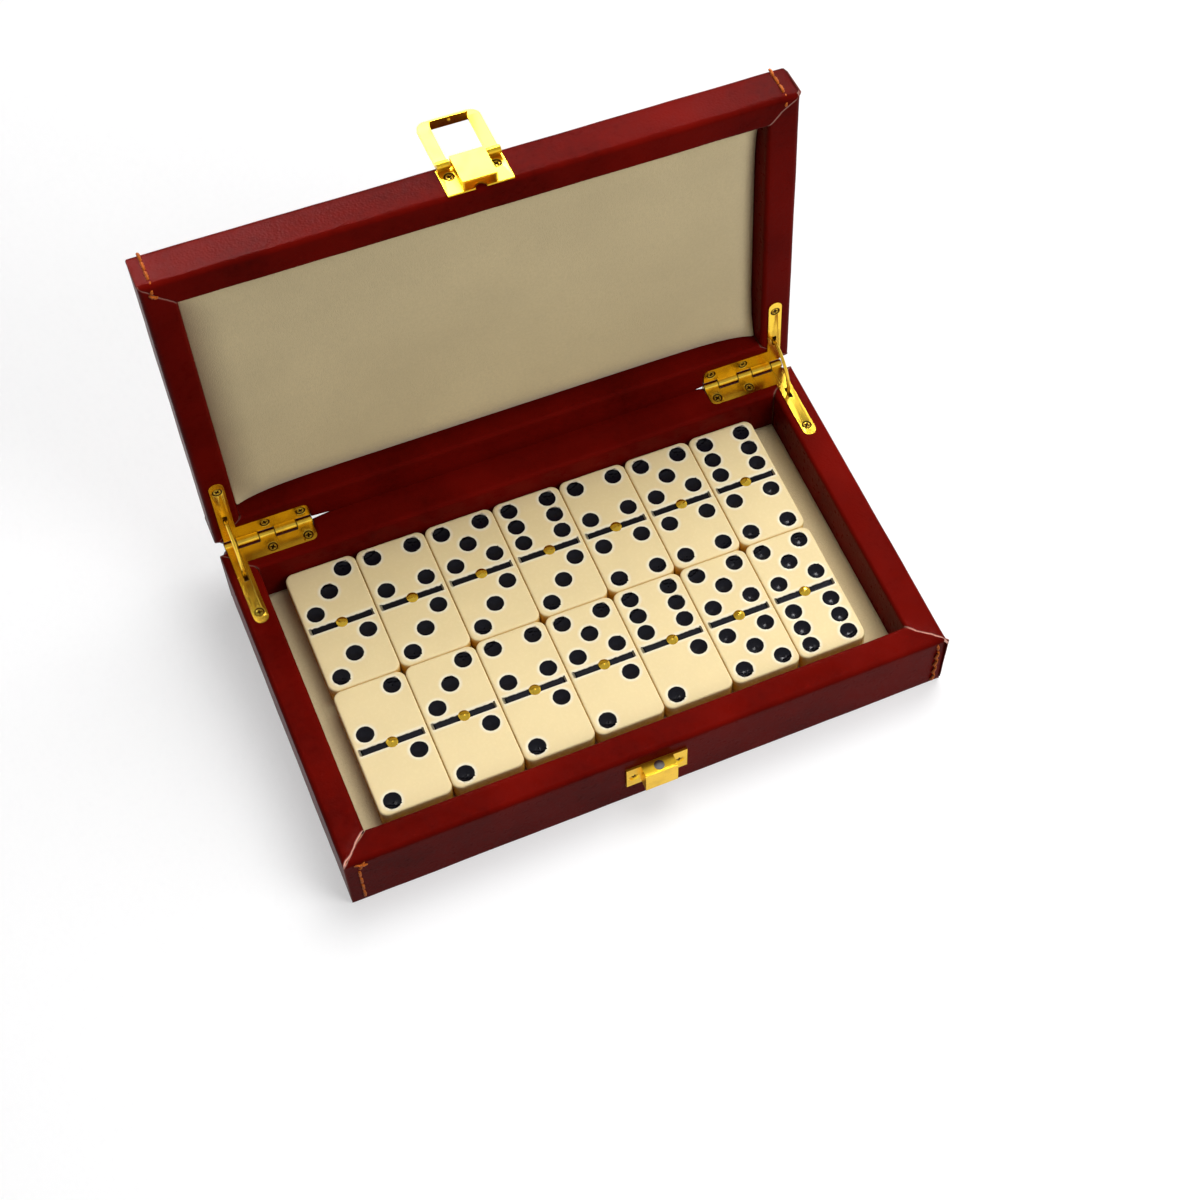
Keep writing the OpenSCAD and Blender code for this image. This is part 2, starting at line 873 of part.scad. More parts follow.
module tile_11_pin() {
    color(brass) tile_pin(10);
}

module tile_12_pin() {
    color(brass) tile_pin(11);
}

module tile_13_pin() {
    color(brass) tile_pin(12);
}

module tile_14_pin() {
    color(brass) tile_pin(13);
}

base_frame();
base_bottom_board();
base_leather();
bottom_cover();
tray_floor_card();
tray_lining();
lid_frame();
lid_panel();
lid_leather();
lid_lining_card();
lid_lining_pad();
left_base_leaf();
left_lid_leaf();
left_hinge_pin();
left_stay();
right_base_leaf();
right_lid_leaf();
right_hinge_pin();
right_stay();
base_hinge_screws();
lid_hinge_screws();
catch_plate();
catch_stud();
catch_screws();
hasp_plate();
hasp_screws();
hasp_pin();
hasp_loop();
base_stitching();
lid_stitching();
tile_1();
tile_2();
tile_3();
tile_4();
tile_5();
tile_6();
tile_7();
tile_8();
tile_9();
tile_10();
tile_11();
tile_12();
tile_13();
tile_14();
tile_1_pin();
tile_2_pin();
tile_3_pin();
tile_4_pin();
tile_5_pin();
tile_6_pin();
tile_7_pin();
tile_8_pin();
tile_9_pin();
tile_10_pin();
tile_11_pin();
tile_12_pin();
tile_13_pin();
tile_14_pin();
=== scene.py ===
"""Finishes and detailed surfaces of a leather covered domino box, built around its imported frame."""

import json
import math

import bmesh
import bpy
import numpy as np
from mathutils import Matrix, Vector


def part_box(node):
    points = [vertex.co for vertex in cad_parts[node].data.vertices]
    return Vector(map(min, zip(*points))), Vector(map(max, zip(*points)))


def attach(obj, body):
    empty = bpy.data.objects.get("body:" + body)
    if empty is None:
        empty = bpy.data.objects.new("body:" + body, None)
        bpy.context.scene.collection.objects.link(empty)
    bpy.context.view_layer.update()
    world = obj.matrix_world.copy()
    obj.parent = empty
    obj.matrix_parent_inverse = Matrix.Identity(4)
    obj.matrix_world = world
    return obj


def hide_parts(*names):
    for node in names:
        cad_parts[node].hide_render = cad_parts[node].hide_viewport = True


bl_info = {
    "name": "Domino box finishes",
    "version": (1, 0, 0),
    "blender": (4, 5, 0),
    "location": "View3D > Sidebar > Domino Box",
    "description": "Leather, brass, lining and tiles of a domino box",
    "category": "Object",
}

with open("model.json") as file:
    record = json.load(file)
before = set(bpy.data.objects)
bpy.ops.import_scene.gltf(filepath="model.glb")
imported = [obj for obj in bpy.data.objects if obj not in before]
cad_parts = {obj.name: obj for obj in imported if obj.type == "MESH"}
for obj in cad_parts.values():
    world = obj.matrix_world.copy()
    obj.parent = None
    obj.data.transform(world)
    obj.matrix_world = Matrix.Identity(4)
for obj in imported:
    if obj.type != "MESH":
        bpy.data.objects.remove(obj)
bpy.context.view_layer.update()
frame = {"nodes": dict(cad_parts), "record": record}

MM = 0.001
RECORD = frame["record"]
BODY_OF = {n: b for b, nodes in RECORD["behaviour"]["bodies"].items() for n in nodes}
SLOT_OF = {p["node"]: p["material_slot"] for p in RECORD["subparts"]}
LID_JOINT = next(j for j in RECORD["behaviour"]["joints"] if j["name"] == "lid_swing")
LID_ANGLE = math.radians(-LID_JOINT["range_deg"][0])
AXIS_Y, AXIS_Z = (v / MM for v in LID_JOINT["pos_m"][1:])

# Sizes of the box in millimetres, as in the CAD frame
HALF_W = 102.0
HALF_D = 61.0
WALL = 10.0
BASE_RIM = 26.0
LID_RIM = 27.0
LID_TOP = 41.0
TOP_EDGE = 6.0
RIM_R = 1.6
INNER_R = 1.4
TRAY_TOP = 9.0
BOARD_TOP = 7.0
PANEL_Z = 37.0
CARD_Z = 35.5
TILE_TOP = 17.0
ARM_X = 96.9
MORTISE_X = 1.7
MORTISE_Y = (46.8, 52.4)
BARREL_END = 70.1
KNUCKLE_ENDS = (99.7, 95.57, 88.2, 82.88, 75.51, 70.2)
PLATE_T = 0.6
LEAF_OUT = 0.3
# Screws of a leaf, from the box's side and back, and of the catch and the hasp, as x and z
LEAF_SCREWS = ((16.81, 4.0), (28.8, 4.0), (5.1, 26.2))
CATCH_SCREW = (7.7, 14.6)
HASP_SCREW = (7.3, 34.7)
TILE_W = 23.8
TILE_L = 47.8
TILE_R = 3.0
EDGE_R = 0.7
TILE_PITCH = 24.0
ROW_PITCH = 48.0
ROW_X = -73.3
BACK_ROW_Y = 26.8
# Pips on the tiles' back and front halves, back row first, and their places
HALVES = ((3, 3), (4, 3), (5, 3), (6, 3), (4, 4), (5, 4), (6, 4),
          (2, 2), (3, 2), (4, 2), (5, 2), (6, 2), (5, 5), (5, 6))
CORNERS = ((1, 1), (-1, -1), (1, -1), (-1, 1))
PLACES = {2: CORNERS[:2], 3: (*CORNERS[:2], (0, 0)), 4: CORNERS, 5: (*CORNERS, (0, 0)),
          6: (*CORNERS, (1, 0), (-1, 0))}
PIP_X = 6.86
PIP_Y = 6.82
PIP_MID = 12.62
BAR_HALF = (10.2, 1.2)
PIN_RISE = 0.6
PIN_R = 2.0
# Head of a screw and the cross pressed into it
HEAD_R = 1.12
CROSS_WIDE = 0.33
CROSS_LONG = 0.98
CROSS_DEPTH = 0.28
CLOTH_T = 0.7
PAD_HALF = (91.8, 50.8)
PAD_EDGE_R = 0.8
PAD_SHOULDER = 11
SHARP = math.radians(34)

# Soft boxes seen in the brass and the leather: turn from +X towards +Y, elevation, inner and outer
# half angle in degrees, brightness
SOFT_BOXES = (
    (92, 43, 2, 11, 82.0),
    (60, 40, 2, 9, 34.0),
    (75, 41, 4, 11, 3.5),
    (66, 65, 3, 9, 1.6),
)
# Lamps aimed at the box: name, place and width in metres, power in watts
LAMPS = (
    ("key_lamp", (0.42, 0.45, 1.3), 1.0, 18.5),
    ("fill_lamp", (0.36, -0.45, 0.55), 0.4, 3.2),
)
AIM = (0, 0, 0.06)
FLOOR_HALF = 4
SOFT_WORLD = 0.21
# The photograph's camera: place, directions, lens in millimetres and shift
CAMERA_AT = (-0.12932, -0.36031, 0.64576)
CAMERA_RIGHT = (0.90027, -0.42918, 0.07298)
CAMERA_AHEAD = (0.28036, 0.44332, -0.85139)
LENS = 66.676
SHIFT = (-0.19913, 0.0097)


# Settings that a user would change


def length(name, description, default):
    """A setting for a length in metres."""
    return bpy.props.FloatProperty(
        name=name, description=description, default=default, unit="LENGTH")


def tint(name, description, *default):
    """A setting for a colour."""
    return bpy.props.FloatVectorProperty(
        name=name, description=description, default=default, subtype="COLOR")


class DominoBoxSizes(bpy.types.PropertyGroup):
    """Sizes that change how the leather, padding and tiles look."""

    leather_thickness: length("Leather thickness", "Thickness seen at cut edges", 0.0009)
    leather_swell: length(
        "Leather unevenness", "How far the glued leather sinks and swells", 0.00009)
    right_swell: length(
        "Right side", "How much prouder the leather stands on the right walls", 0.0011)
    flap_reach: length(
        "Corner flap", "How far the front leather stands past the right corner", 0.0009)
    thread: length("Thread", "Diameter of the stitching thread", 0.00095)
    pad_corner: length(
        "Padding at the corners", "How far the corners of the padding stand forward", 0.0034)
    pad_rise: length("Padding rise", "Thickness of the padding inside its soft shoulder", 0.0034)
    pip_size: length("Pip", "Diameter of a pip", 0.0059)
    pip_depth: length("Pip depth", "Depth of a pip's hollow", 0.0008)
    brass_edge: length("Brass edge", "Roundness of the edges of the brass parts", 0.00012)


class DominoBoxColours(bpy.types.PropertyGroup):
    """Colours of the finishes, as linear values."""

    leather: tint("Leather", "Lit colour of the leather", 0.14, 0.0032, 0.0014)
    leather_deep: tint("Deep leather", "Darker patches of the leather", 0.066, 0.0015, 0.0007)
    raw_edge: tint("Raw edge", "Cut edge of the leather", 0.9, 0.52, 0.42)
    lining: tint("Lining", "Cloth of the lid and tray", 0.7, 0.58, 0.34)
    brass: tint("Brass", "Bright brass", 0.92, 0.6, 0.06)
    brass_satin: tint("Satin brass", "Metal of the catch, hasp plate and loop", 0.92, 0.58, 0.035)
    brass_dull: tint("Dull brass", "Tarnished patches of the brass", 0.5, 0.27, 0.03)
    ivory: tint("Tile", "Cream body of the tiles", 0.8, 0.65, 0.36)
    thread: tint("Thread", "Orange thread", 0.62, 0.14, 0.012)


# Shapes worked out as whole arrays


def wavy(points, seed, size):
    """A soft bumpy field: ten sine waves in fixed random directions, their sum divided by five."""
    rng = np.random.default_rng(seed)
    ways = rng.normal(size=(10, 3))
    ways *= (2 * np.pi / size / np.linalg.norm(ways, axis=1) * rng.uniform(0.6, 1.6, 10))[:, None]
    return np.sin(points @ ways.T + rng.uniform(0, 2 * np.pi, 10)).sum(axis=-1) / 5


def uneven(points):
    """How the glued leather sinks: broad and narrow waves below its full height."""
    return 0.7 * wavy(points, 11, 34) + 0.3 * wavy(points, 12, 11) - 1


def smooth(x, low, high):
    """0 below low, 1 above high and an S curve between them."""
    t = np.clip((x - low) / (high - low), 0, 1)
    return t * t * (3 - 2 * t)


def opened(points):
    """Points drawn for the shut lid, turned about the hinge axis to where the lid stands."""
    c, s = math.cos(LID_ANGLE), math.sin(LID_ANGLE)
    y, z = points[..., 1] - AXIS_Y, points[..., 2] - AXIS_Z
    return np.stack([points[..., 0], AXIS_Y + y * c + z * s, AXIS_Z - y * s + z * c], axis=-1)


def grid_faces(rows, columns, start=0, keep=None):
    """Four-cornered faces between neighbouring points of a grid."""
    at = np.arange(rows * columns).reshape(rows, columns) + start
    faces = np.stack([at[:-1, :-1], at[1:, :-1], at[1:, 1:], at[:-1, 1:]], axis=-1)
    return faces.reshape(-1, 4) if keep is None else faces[keep]


def flat_grid(low, high, z, rows, columns):
    """Points of a level grid between two corners."""
    x, y = np.linspace(low[0], high[0], rows), np.linspace(low[1], high[1], columns)
    return np.stack(np.broadcast_arrays(x[:, None], y[None, :], z), axis=-1)


def facing(points, faces, outward):
    """The faces, each turned so that its normal runs with the outward vectors of its corners."""
    outward = np.broadcast_to(outward, points.shape)
    a, b, d = (points[faces[:, i]] for i in (0, 1, 3))
    turn = (np.cross(b - a, d - a) * outward[faces].mean(axis=1)).sum(axis=1) < 0
    faces = faces.copy()
    faces[turn] = faces[turn][:, ::-1]
    return faces.tolist()


def turned_faces(rings, sides, flip=False):
    """Faces of a turned shape: bands between its rings of points and one face on each end."""
    at = np.arange(rings * sides).reshape(rings, sides)
    after = np.roll(at, -1, axis=1)
    bands = [at[:-1], at[1:], after[1:], after[:-1]]
    ends = [at[0], at[-1, ::-1]]
    if flip:
        bands, ends = [bands[i] for i in (0, 3, 2, 1)], [end[::-1] for end in ends]
    return np.stack(bands, axis=-1).reshape(-1, 4).tolist() + [end.tolist() for end in ends]


def joined(parts):
    """Several (points, faces) pairs as one pair."""
    points, faces, start = [], [], 0
    for part_points, part_faces in parts:
        points.append(part_points)
        faces += [[i + start for i in face] for face in part_faces]
        start += len(part_points)
    return np.concatenate(points), faces


def piece(name, node, points, faces, **fields):
    """A smooth shaded mesh in the place of a CAD node, from points in millimetres.

    The points are those of the shut box; on the lid they are turned to where it stands. fields are
    values on the points for the finishes.
    """
    mesh = bpy.data.meshes.new(name)
    points = opened(points) if BODY_OF[node] == "lid" else points
    mesh.from_pydata((points * MM).tolist(), [], faces)
    for key, values in fields.items():
        mesh.attributes.new(key, "FLOAT", "POINT").data.foreach_set("value", values.ravel())
    mesh.validate()
    mesh.shade_smooth()
    mesh.materials.append(finish(SLOT_OF[node]))
    obj = linked(name, mesh)
    settle(obj, node)
    return obj


def linked(name, data):
    """A new object in the scene."""
    obj = bpy.data.objects.new(name, data)
    bpy.context.scene.collection.objects.link(obj)
    return obj


def settle(obj, node):
    """Puts a piece in the place of a CAD node, riding on the node's body, and hides the node."""
    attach(obj, BODY_OF[node])
    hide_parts(node)


def arc(s, h, r, start, end, count):
    """Points on a circle of radius r about (s, h), between two angles in degrees."""
    a = np.radians(np.linspace(start, end, count))
    return np.stack([s + r * np.cos(a), h + r * np.sin(a)], axis=1)


def run(a, b, step):
    """Points on the straight line from a to b, ends left out."""
    count = max(2, int(np.hypot(b[0] - a[0], b[1] - a[1]) / step))
    t = np.arange(1, count)[:, None] / count
    return np.array(a) * (1 - t) + np.array(b) * t


def wall_section(outer, foot_r, foot_s, inner):
    """Section of the leather on a wall: s runs inwards from the outer face and h away from the rim.

    It goes from foot_s at the foot round its edge, up the outer face, over the rim with its two
    soft edges and along the inner face. outer and inner are the lengths of the two faces. Returns
    the points and their outward normals.
    """
    points = np.concatenate([
        [[foot_s, outer]],
        arc(foot_r, outer - foot_r, foot_r, 90, 180, 6),
        run((0, outer - foot_r), (0, RIM_R), 1.1),
        arc(RIM_R, RIM_R, RIM_R, 180, 270, 9),
        run((RIM_R, 0), (WALL - INNER_R, 0), 0.8),
        arc(WALL - INNER_R, INNER_R, INNER_R, 270, 360, 7),
        run((WALL, INNER_R), (WALL, inner), 1.4),
        [[WALL, inner]],
    ])
    slope = np.gradient(points, axis=0)
    slope /= np.linalg.norm(slope, axis=1)[:, None]
    return points, np.stack([slope[:, 1], -slope[:, 0]], axis=1)


# The four walls: direction along the wall, direction inwards, half length, distance of the face
WALLS = {
    "front": ((1, 0), (0, 1), HALF_W, HALF_D),
    "right": ((0, 1), (-1, 0), HALF_D, HALF_W),
    "rear": ((-1, 0), (0, -1), HALF_W, HALF_D),
    "left": ((0, -1), (1, 0), HALF_D, HALF_W),
}
# Leather of the base and the lid: rim height, way from the rim, what wall_section and rear_ridge
# are given, and how far from the rim a loose flap goes
SKINS = {
    "base": (BASE_RIM, -1, (BASE_RIM - 0.05, 0.6, 1.3, BASE_RIM - BOARD_TOP),
             (3.1, 1.1, 0.45, 1.6, 1.7), 24),
    "lid": (LID_RIM, 1, (LID_TOP - LID_RIM, 2.0, TOP_EDGE, PANEL_Z - LID_RIM),
            (2.1, 0.85, 0.3, 1.9, 1.45), 11),
}


def seam_wave(s, phase):
    """How far a hand cut mitre wanders from its straight line."""
    return 0.22 * np.sin(1.05 * s + phase) + 0.1 * np.sin(2.9 * s + 2 * phase)


def rear_ridge(x, s, h, reach, rise, flat, tuck, tuck_h):
    """Soft ridge of leather on the rear rim: pushes the rounded edge out and up between the hinges.

    The push is greatest on the edge itself and fades down the face and across the rim as bell
    curves; along the wall it fades out towards each hinge. Behind a hinge the leather only swells
    out below the barrel, by tuck at the height tuck_h. Returns the moved s and h and the push.
    """
    between = (np.abs(x) < BARREL_END).astype(float)
    along = np.interp(x, (-90, -70.1, -61.3, -55, 60, 65.8, 70.1, 90),
                      (0.55, 0.63, 0.88, 1, 1, 0.885, 0.68, 0.55)) * between
    bell = np.exp(-((h - 0.9) / 1.9) ** 2) * np.exp(-(np.maximum(s - 1, 0) / 2.2) ** 2)
    push = along * np.where(h < 9, bell, 0)
    behind = (1 - between) * smooth(-np.abs(x), -100.8, -99.8)
    swollen = tuck * behind * np.exp(-((h - tuck_h) / 0.65) ** 2) * (s < 1)
    moved = np.where(push > 1e-3, np.maximum(h - rise * push, np.minimum(h, -flat)), h)
    return s - reach * push - swollen, moved, np.maximum(push, behind * (s < 1))


def leather_strip(wall, body, seams, swell, thick, proud):
    """One wall's leather: its section carried along the wall, ending in mitres with cut edges.

    Near an end, a row's place along the wall is the mitre's line plus a distance. The surface is
    moved along its normal by a soft field, by a roll that sinks each cut edge and by the lift of a
    corner that has come loose. The last row at each end goes one leather thickness inwards.
    """
    along, inward, half, face = WALLS[wall]
    rim, way, section, ridge, foot = SKINS[body]
    section, normals = wall_section(*section)
    s, h = section.T
    near = np.array([0, 0.1, 0.25, 0.5, 0.8, 1.2, 1.8, 2.6, 3.6, 5.0])
    core = np.linspace(16 - half, half - 16, int(half * 1.54) - 24)
    if wall == "rear":
        step = BARREL_END + np.array([-0.04, 0.04])
        core = np.sort(np.concatenate([
            core[np.abs(np.abs(core) - BARREL_END) > 0.3], step, -step]))
    bridge = np.linspace(0, 1, 7)[1:-1, None]
    on_rim = np.clip(-normals[:, 1], 0, 1) * (h < 3)
    on_face = np.clip(-normals[:, 0], 0, 1)
    low, high = seams
    ends = []
    wider = proud * smooth(-s, -6, 0)
    for seam in (low, high):
        wave = seam_wave(s, seam["phase"]) * seam["hand"] * np.maximum(on_rim, 0.25 * on_face)
        gap = seam["gap"] * (0.55 + 0.45 * np.sin(0.8 * s + seam["phase"]))
        flap = seam["flap"] * np.exp(-(s / 1.1) ** 2) * (h < foot)
        flap = flap * (0.6 + 0.4 * smooth(-h, -20, 0))
        outer = wider if seam["right"] and wall != "right" else 0
        ends.append(half - s + wave - gap / 2 * np.maximum(on_rim, 0.3) + flap + outer)
    first = near[:, None] - ends[0]
    last = ends[1] - near[::-1, None]
    core = np.broadcast_to(core[:, None], (len(core), len(s)))
    a = np.concatenate([
        first, first[-1] * (1 - bridge) + core[0] * bridge, core,
        core[-1] * (1 - bridge) + last[0] * bridge, last,
    ])
    from_end = np.minimum(a + ends[0], ends[1] - a)
    nearer = (np.arange(len(a)) < len(a) // 2)[:, None]
    depth = np.broadcast_to(s - wider * (wall == "right"), a.shape)
    high_up, push = np.broadcast_to(h, a.shape), 0
    if wall == "rear":
        depth, high_up, push = rear_ridge(-a, depth, high_up, *ridge)
    base = np.stack([
        along[0] * a - inward[0] * (face - depth),
        along[1] * a - inward[1] * (face - depth),
        rim + way * high_up,
    ], axis=-1)
    out = np.stack([inward[0] * normals[:, 0], inward[1] * normals[:, 0], way * normals[:, 1]],
                   axis=-1)
    out = np.broadcast_to(out, base.shape)
    move = swell * uneven(base) * (1 - push)
    move = move - 0.28 * np.exp(-from_end / 0.28) * np.maximum(on_rim, 0.45 * on_face)
    lift, bare = (np.where(nearer, low[key], high[key]) for key in ("lift", "bare"))
    move = move + lift * np.exp(-(from_end / 2.6) ** 2) * on_rim
    points = base + out * move[..., None]
    shown = 0.15 + 0.85 * on_rim
    under = points[[0, -1]] - out[[0, -1]] * (thick * shown)[None, :, None]
    raw = 0.9 * np.exp(-(from_end / 0.22) ** 2) * bare * shown
    points = np.concatenate([under[:1], points, under[1:]])
    raw = np.concatenate([low["bare"] * shown[None], raw, high["bare"] * shown[None]])
    tip = np.array([*along, 0])
    out = np.concatenate([out[:1] - 2 * tip, out, out[-1:] + 2 * tip])
    return points, out, raw


def leather_shell(body, seams, swell, thick, proud):
    """All four walls' leather as one piece, with cut-outs for the stays, and the lid's top."""
    rim = SKINS[body][0]
    parts, start = [], 0
    for i, wall in enumerate(WALLS):
        pair = (seams[i - 1], dict(seams[i], hand=-seams[i]["hand"]))
        p, out, raw = leather_strip(wall, body, pair, swell, thick, proud)
        rows, columns = p.shape[:2]
        x, y, z = np.moveaxis((p[:-1, :-1] + p[1:, 1:]) / 2, -1, 0)
        hole = np.abs(np.abs(x) - ARM_X) < MORTISE_X
        hole &= (y > MORTISE_Y[0]) & (y < MORTISE_Y[1]) & (np.abs(z - rim) < 1)
        parts.append((p.reshape(-1, 3), out.reshape(-1, 3), raw.ravel(),
                      grid_faces(rows, columns, start, ~hole)))
        start += rows * columns
    if body == "lid":
        x, y = HALF_W - TOP_EDGE, HALF_D - TOP_EDGE
        top = flat_grid((-x, -y), (x, y), LID_TOP, 150, 86)
        top[..., 2] += swell * uneven(top)
        top = top.reshape(-1, 3)
        parts.append((top, np.tile([0.0, 0.0, 1.0], (len(top), 1)), np.zeros(len(top)),
                      grid_faces(150, 86, start)))
    points, outs, raw, faces = (np.concatenate(part) for part in zip(*parts))
    piece(body + "_leather_skin", body + "_leather", points, facing(points, faces, outs), raw=raw)


def rounded_grid(xs, ys, rings):
    """Grid over a rectangle with round corners, carried over its edge.

    xs and ys are the lines across the inner rectangle. rings holds (reach, height) rows: how
    far each further line stands out from the inner rectangle, and its height. In a corner, the
    reach is laid off at an angle that grows evenly from one side to the other, so square rings of
    the grid become quarter circles. Returns points, faces, the outermost loop and ring numbers.
    """
    k = len(rings)
    reach = np.concatenate([[0], rings[:, 0]])
    height = np.concatenate([[0], rings[:, 1]])

    def lines(v):
        index = np.concatenate([np.arange(k, 0, -1), np.zeros(len(v)), np.arange(1, k + 1)])
        return index.astype(int), np.repeat([-1, 0, 1], [k, len(v), k]), np.pad(v, k, "edge")

    ix, sx, cx = lines(xs)
    iy, sy, cy = lines(ys)
    kx, ky = np.meshgrid(ix, iy, indexing="ij")
    big, small = np.maximum(kx, ky), np.minimum(kx, ky)
    angle = np.where(big > 0, np.pi / 4 * small / np.maximum(big, 1), 0)
    wide, narrow = np.cos(angle), np.sin(angle)
    dx = np.where(kx >= ky, wide, narrow) * reach[big] * (kx > 0)
    dy = np.where(kx >= ky, narrow, wide) * reach[big] * (ky > 0)
    points = np.stack([cx[:, None] + sx[:, None] * dx, cy + sy * dy, height[big]], axis=-1)
    rows, columns = points.shape[:2]
    at = np.arange(rows * columns).reshape(rows, columns)
    loop = np.concatenate([at[:-1, 0], at[-1, :-1], at[:0:-1, -1], at[0, :0:-1]])
    return points, grid_faces(rows, columns), loop, big


def thread_tube(path, radius, sides=12, lobes=0.16, turns=1.6):
    """Closed tube along a path; two soft lobes wind round it, as the plies of a thread do."""
    ahead = np.gradient(path, axis=0)
    ahead /= np.linalg.norm(ahead, axis=1)[:, None]
    side = np.cross(ahead, [0.31, 0.53, 0.79])
    side /= np.linalg.norm(side, axis=1)[:, None]
    other = np.cross(ahead, side)
    t = np.linspace(0, 1, len(path))[:, None]
    a = np.linspace(0, 2 * np.pi, sides, endpoint=False)
    r = radius * (1 + lobes * np.cos(2 * (a - 2 * np.pi * turns * t)))
    r = r * np.sqrt(np.clip(1 - (np.abs(2 * t - 1)) ** 14, 0.02, 1))
    points = path[:, None] + r[..., None] * (
        np.cos(a)[..., None] * side[:, None] + np.sin(a)[..., None] * other[:, None])
    return points.reshape(-1, 3), turned_faces(len(path), sides, flip=True)


def stitches(spans, radius):
    """Thread laid over the leather: each span is an arch from hole to hole, in two-ply thread."""
    t = np.linspace(0, 1, 22)[:, None]
    lift = radius * (0.55 - 1.9 * np.abs(2 * t - 1) ** 6)
    return joined(
        thread_tube(np.array(a) * (1 - t) + np.array(b) * t + np.array(out) * lift, radius)
        for a, b, out in spans)


def screw_shape(spin, centre, out):
    """Screw turned from a profile: low domed head, ring of the seat, shank and point.

    Each row of the profile is a distance from the screw's line, a height and how much dirt and
    painted shade darken it. A cross is pressed into the head where the distance to two crossed bars
    is below zero; the cross is darkened as painted shade.
    """
    r = np.linspace(0.03, HEAD_R, 18)
    head = np.stack([r, -0.04 - 0.12 * (r / HEAD_R) ** 2, 0.25 + 0 * r], axis=1)
    rest = np.array([
        [1.18, -0.22, 0.5], [1.22, -0.48, 1.0], [1.4, -0.33, 1.0], [1.58, -0.16, 0.9],
        [1.7, -0.05, 0.8], [1.71, -0.08, 0.8], [0.89, -0.86, 0.5], [0.88, -6.2, 0.2],
        [0.2, -6.5, 0.2],
    ])
    reach, height, dirt_and_shade = np.concatenate([head, rest]).T[..., None]
    a = np.linspace(0, 2 * np.pi, 64, endpoint=False)
    x, y = reach * np.cos(a + spin), reach * np.sin(a + spin)
    bars = np.minimum(np.maximum(np.abs(x) - CROSS_WIDE, np.abs(y) - CROSS_LONG),
                      np.maximum(np.abs(y) - CROSS_WIDE, np.abs(x) - CROSS_LONG))
    pressed = smooth(-bars, -0.05, 0.05) * (np.arange(len(reach)) < len(head))[:, None]
    z = height - CROSS_DEPTH * pressed
    out = np.array(out, dtype=float)
    side = np.cross(out, [0.0, 0.0, 1.0] if abs(out[2]) < 0.5 else [0.0, 1.0, 0.0])
    points = (np.array(centre) + (reach * np.cos(a))[..., None] * side
              + (reach * np.sin(a))[..., None] * np.cross(out, side) + z[..., None] * out)
    # How dark each point is painted: dirt and painted shade in the seat ring, painted shade in the
    # pressed cross.
    grime = np.maximum(dirt_and_shade, pressed).ravel()
    return points.reshape(-1, 3), turned_faces(len(reach), len(a)), grime


def finished_copy(node, edge):
    """A copy of a CAD node with its doubles merged, smooth shading and softly rounded edges.

    A hinge leaf is also cut at the ends of its knuckles, where painted shade darkens the gaps between
    them.
    """
    mesh = frame["nodes"][node].data.copy()
    mesh.name = node + "_finished"
    leaf = node.endswith("leaf")
    work = bmesh.new()
    work.from_mesh(mesh)
    bmesh.ops.remove_doubles(work, verts=work.verts, dist=2e-6)
    bmesh.ops.dissolve_limit(work, angle_limit=math.radians(0.5), verts=work.verts,
                             edges=work.edges)
    if leaf:
        for x in KNUCKLE_ENDS:
            for side in (-0.3, 0.3):
                cut = (x + side) * MM * (-1 if node.startswith("left") else 1)
                bmesh.ops.bisect_plane(work, geom=work.verts[:] + work.edges[:] + work.faces[:],
                                       plane_co=(cut, 0, 0), plane_no=(1, 0, 0), dist=1e-7)
    work.to_mesh(mesh)
    work.free()
    if leaf:
        place = np.empty(len(mesh.vertices) * 3)
        mesh.vertices.foreach_get("co", place)
        place = place.reshape(-1, 3) / MM
        to_end = np.abs(np.abs(place[:, :1]) - np.array(KNUCKLE_ENDS)).min(axis=1)
        near_axis = np.hypot(place[:, 1] - AXIS_Y, place[:, 2] - AXIS_Z) < 1.5
        # Painted shade: the knuckle ends near the axis are darkened where shade falls in the gaps
        # between knuckles.
        mesh.attributes.new("grime", "FLOAT", "POINT").data.foreach_set(
            "value", 0.95 * (to_end < 0.1) * near_axis)
    mesh.shade_smooth()
    mesh.set_sharp_from_angle(angle=SHARP)
    obj = linked(mesh.name, mesh)
    soft = obj.modifiers.new("Soft edges", "BEVEL")
    soft.width = edge
    soft.segments = 2
    soft.angle_limit = SHARP
    soft.harden_normals = True
    return obj


# Finishes and the node groups they share


def feed(tree, socket, value):
    """Links a socket to an input, or sets a fixed value on it."""
    if isinstance(value, bpy.types.NodeSocket):
        tree.links.new(value, socket)
    else:
        socket.default_value = value


def add(tree, kind, inputs=None, **settings):
    """A new shader node with its settings, its inputs set to values or linked to sockets."""
    made = tree.nodes.new("ShaderNode" + kind)
    for key, value in settings.items():
        setattr(made, key, value)
    for key, value in (inputs or {}).items():
        feed(tree, made.inputs[key], value)
    return made


def maths(tree, operation, a, b):
    """The result of one calculation with two values."""
    return add(tree, "Math", {0: a, 1: b}, operation=operation).outputs[0]


def blend(tree, amount, low, high):
    """A colour between low and high, which are sockets or red, green and blue."""
    made = add(tree, "Mix", {"Factor": amount}, data_type="RGBA")
    for socket, value in zip(made.inputs[6:8], (low, high)):
        feed(tree, socket, value if isinstance(value, bpy.types.NodeSocket) else (*value, 1))
    return made.outputs[2]


def scaled(tree, value, to_low, to_high, low=0.0, high=1.0, soft=False):
    """value mapped to to_low..to_high from 0..1 or from low..high."""
    return add(tree, "MapRange", {
        "Value": value, "From Min": low, "From Max": high, "To Min": to_low, "To Max": to_high,
    }, interpolation_type="SMOOTHSTEP" if soft else "LINEAR").outputs["Result"]


def field(tree, name):
    """A piece's own values on its points, 0 on pieces without them."""
    return add(tree, "Attribute", attribute_name=name).outputs["Fac"]


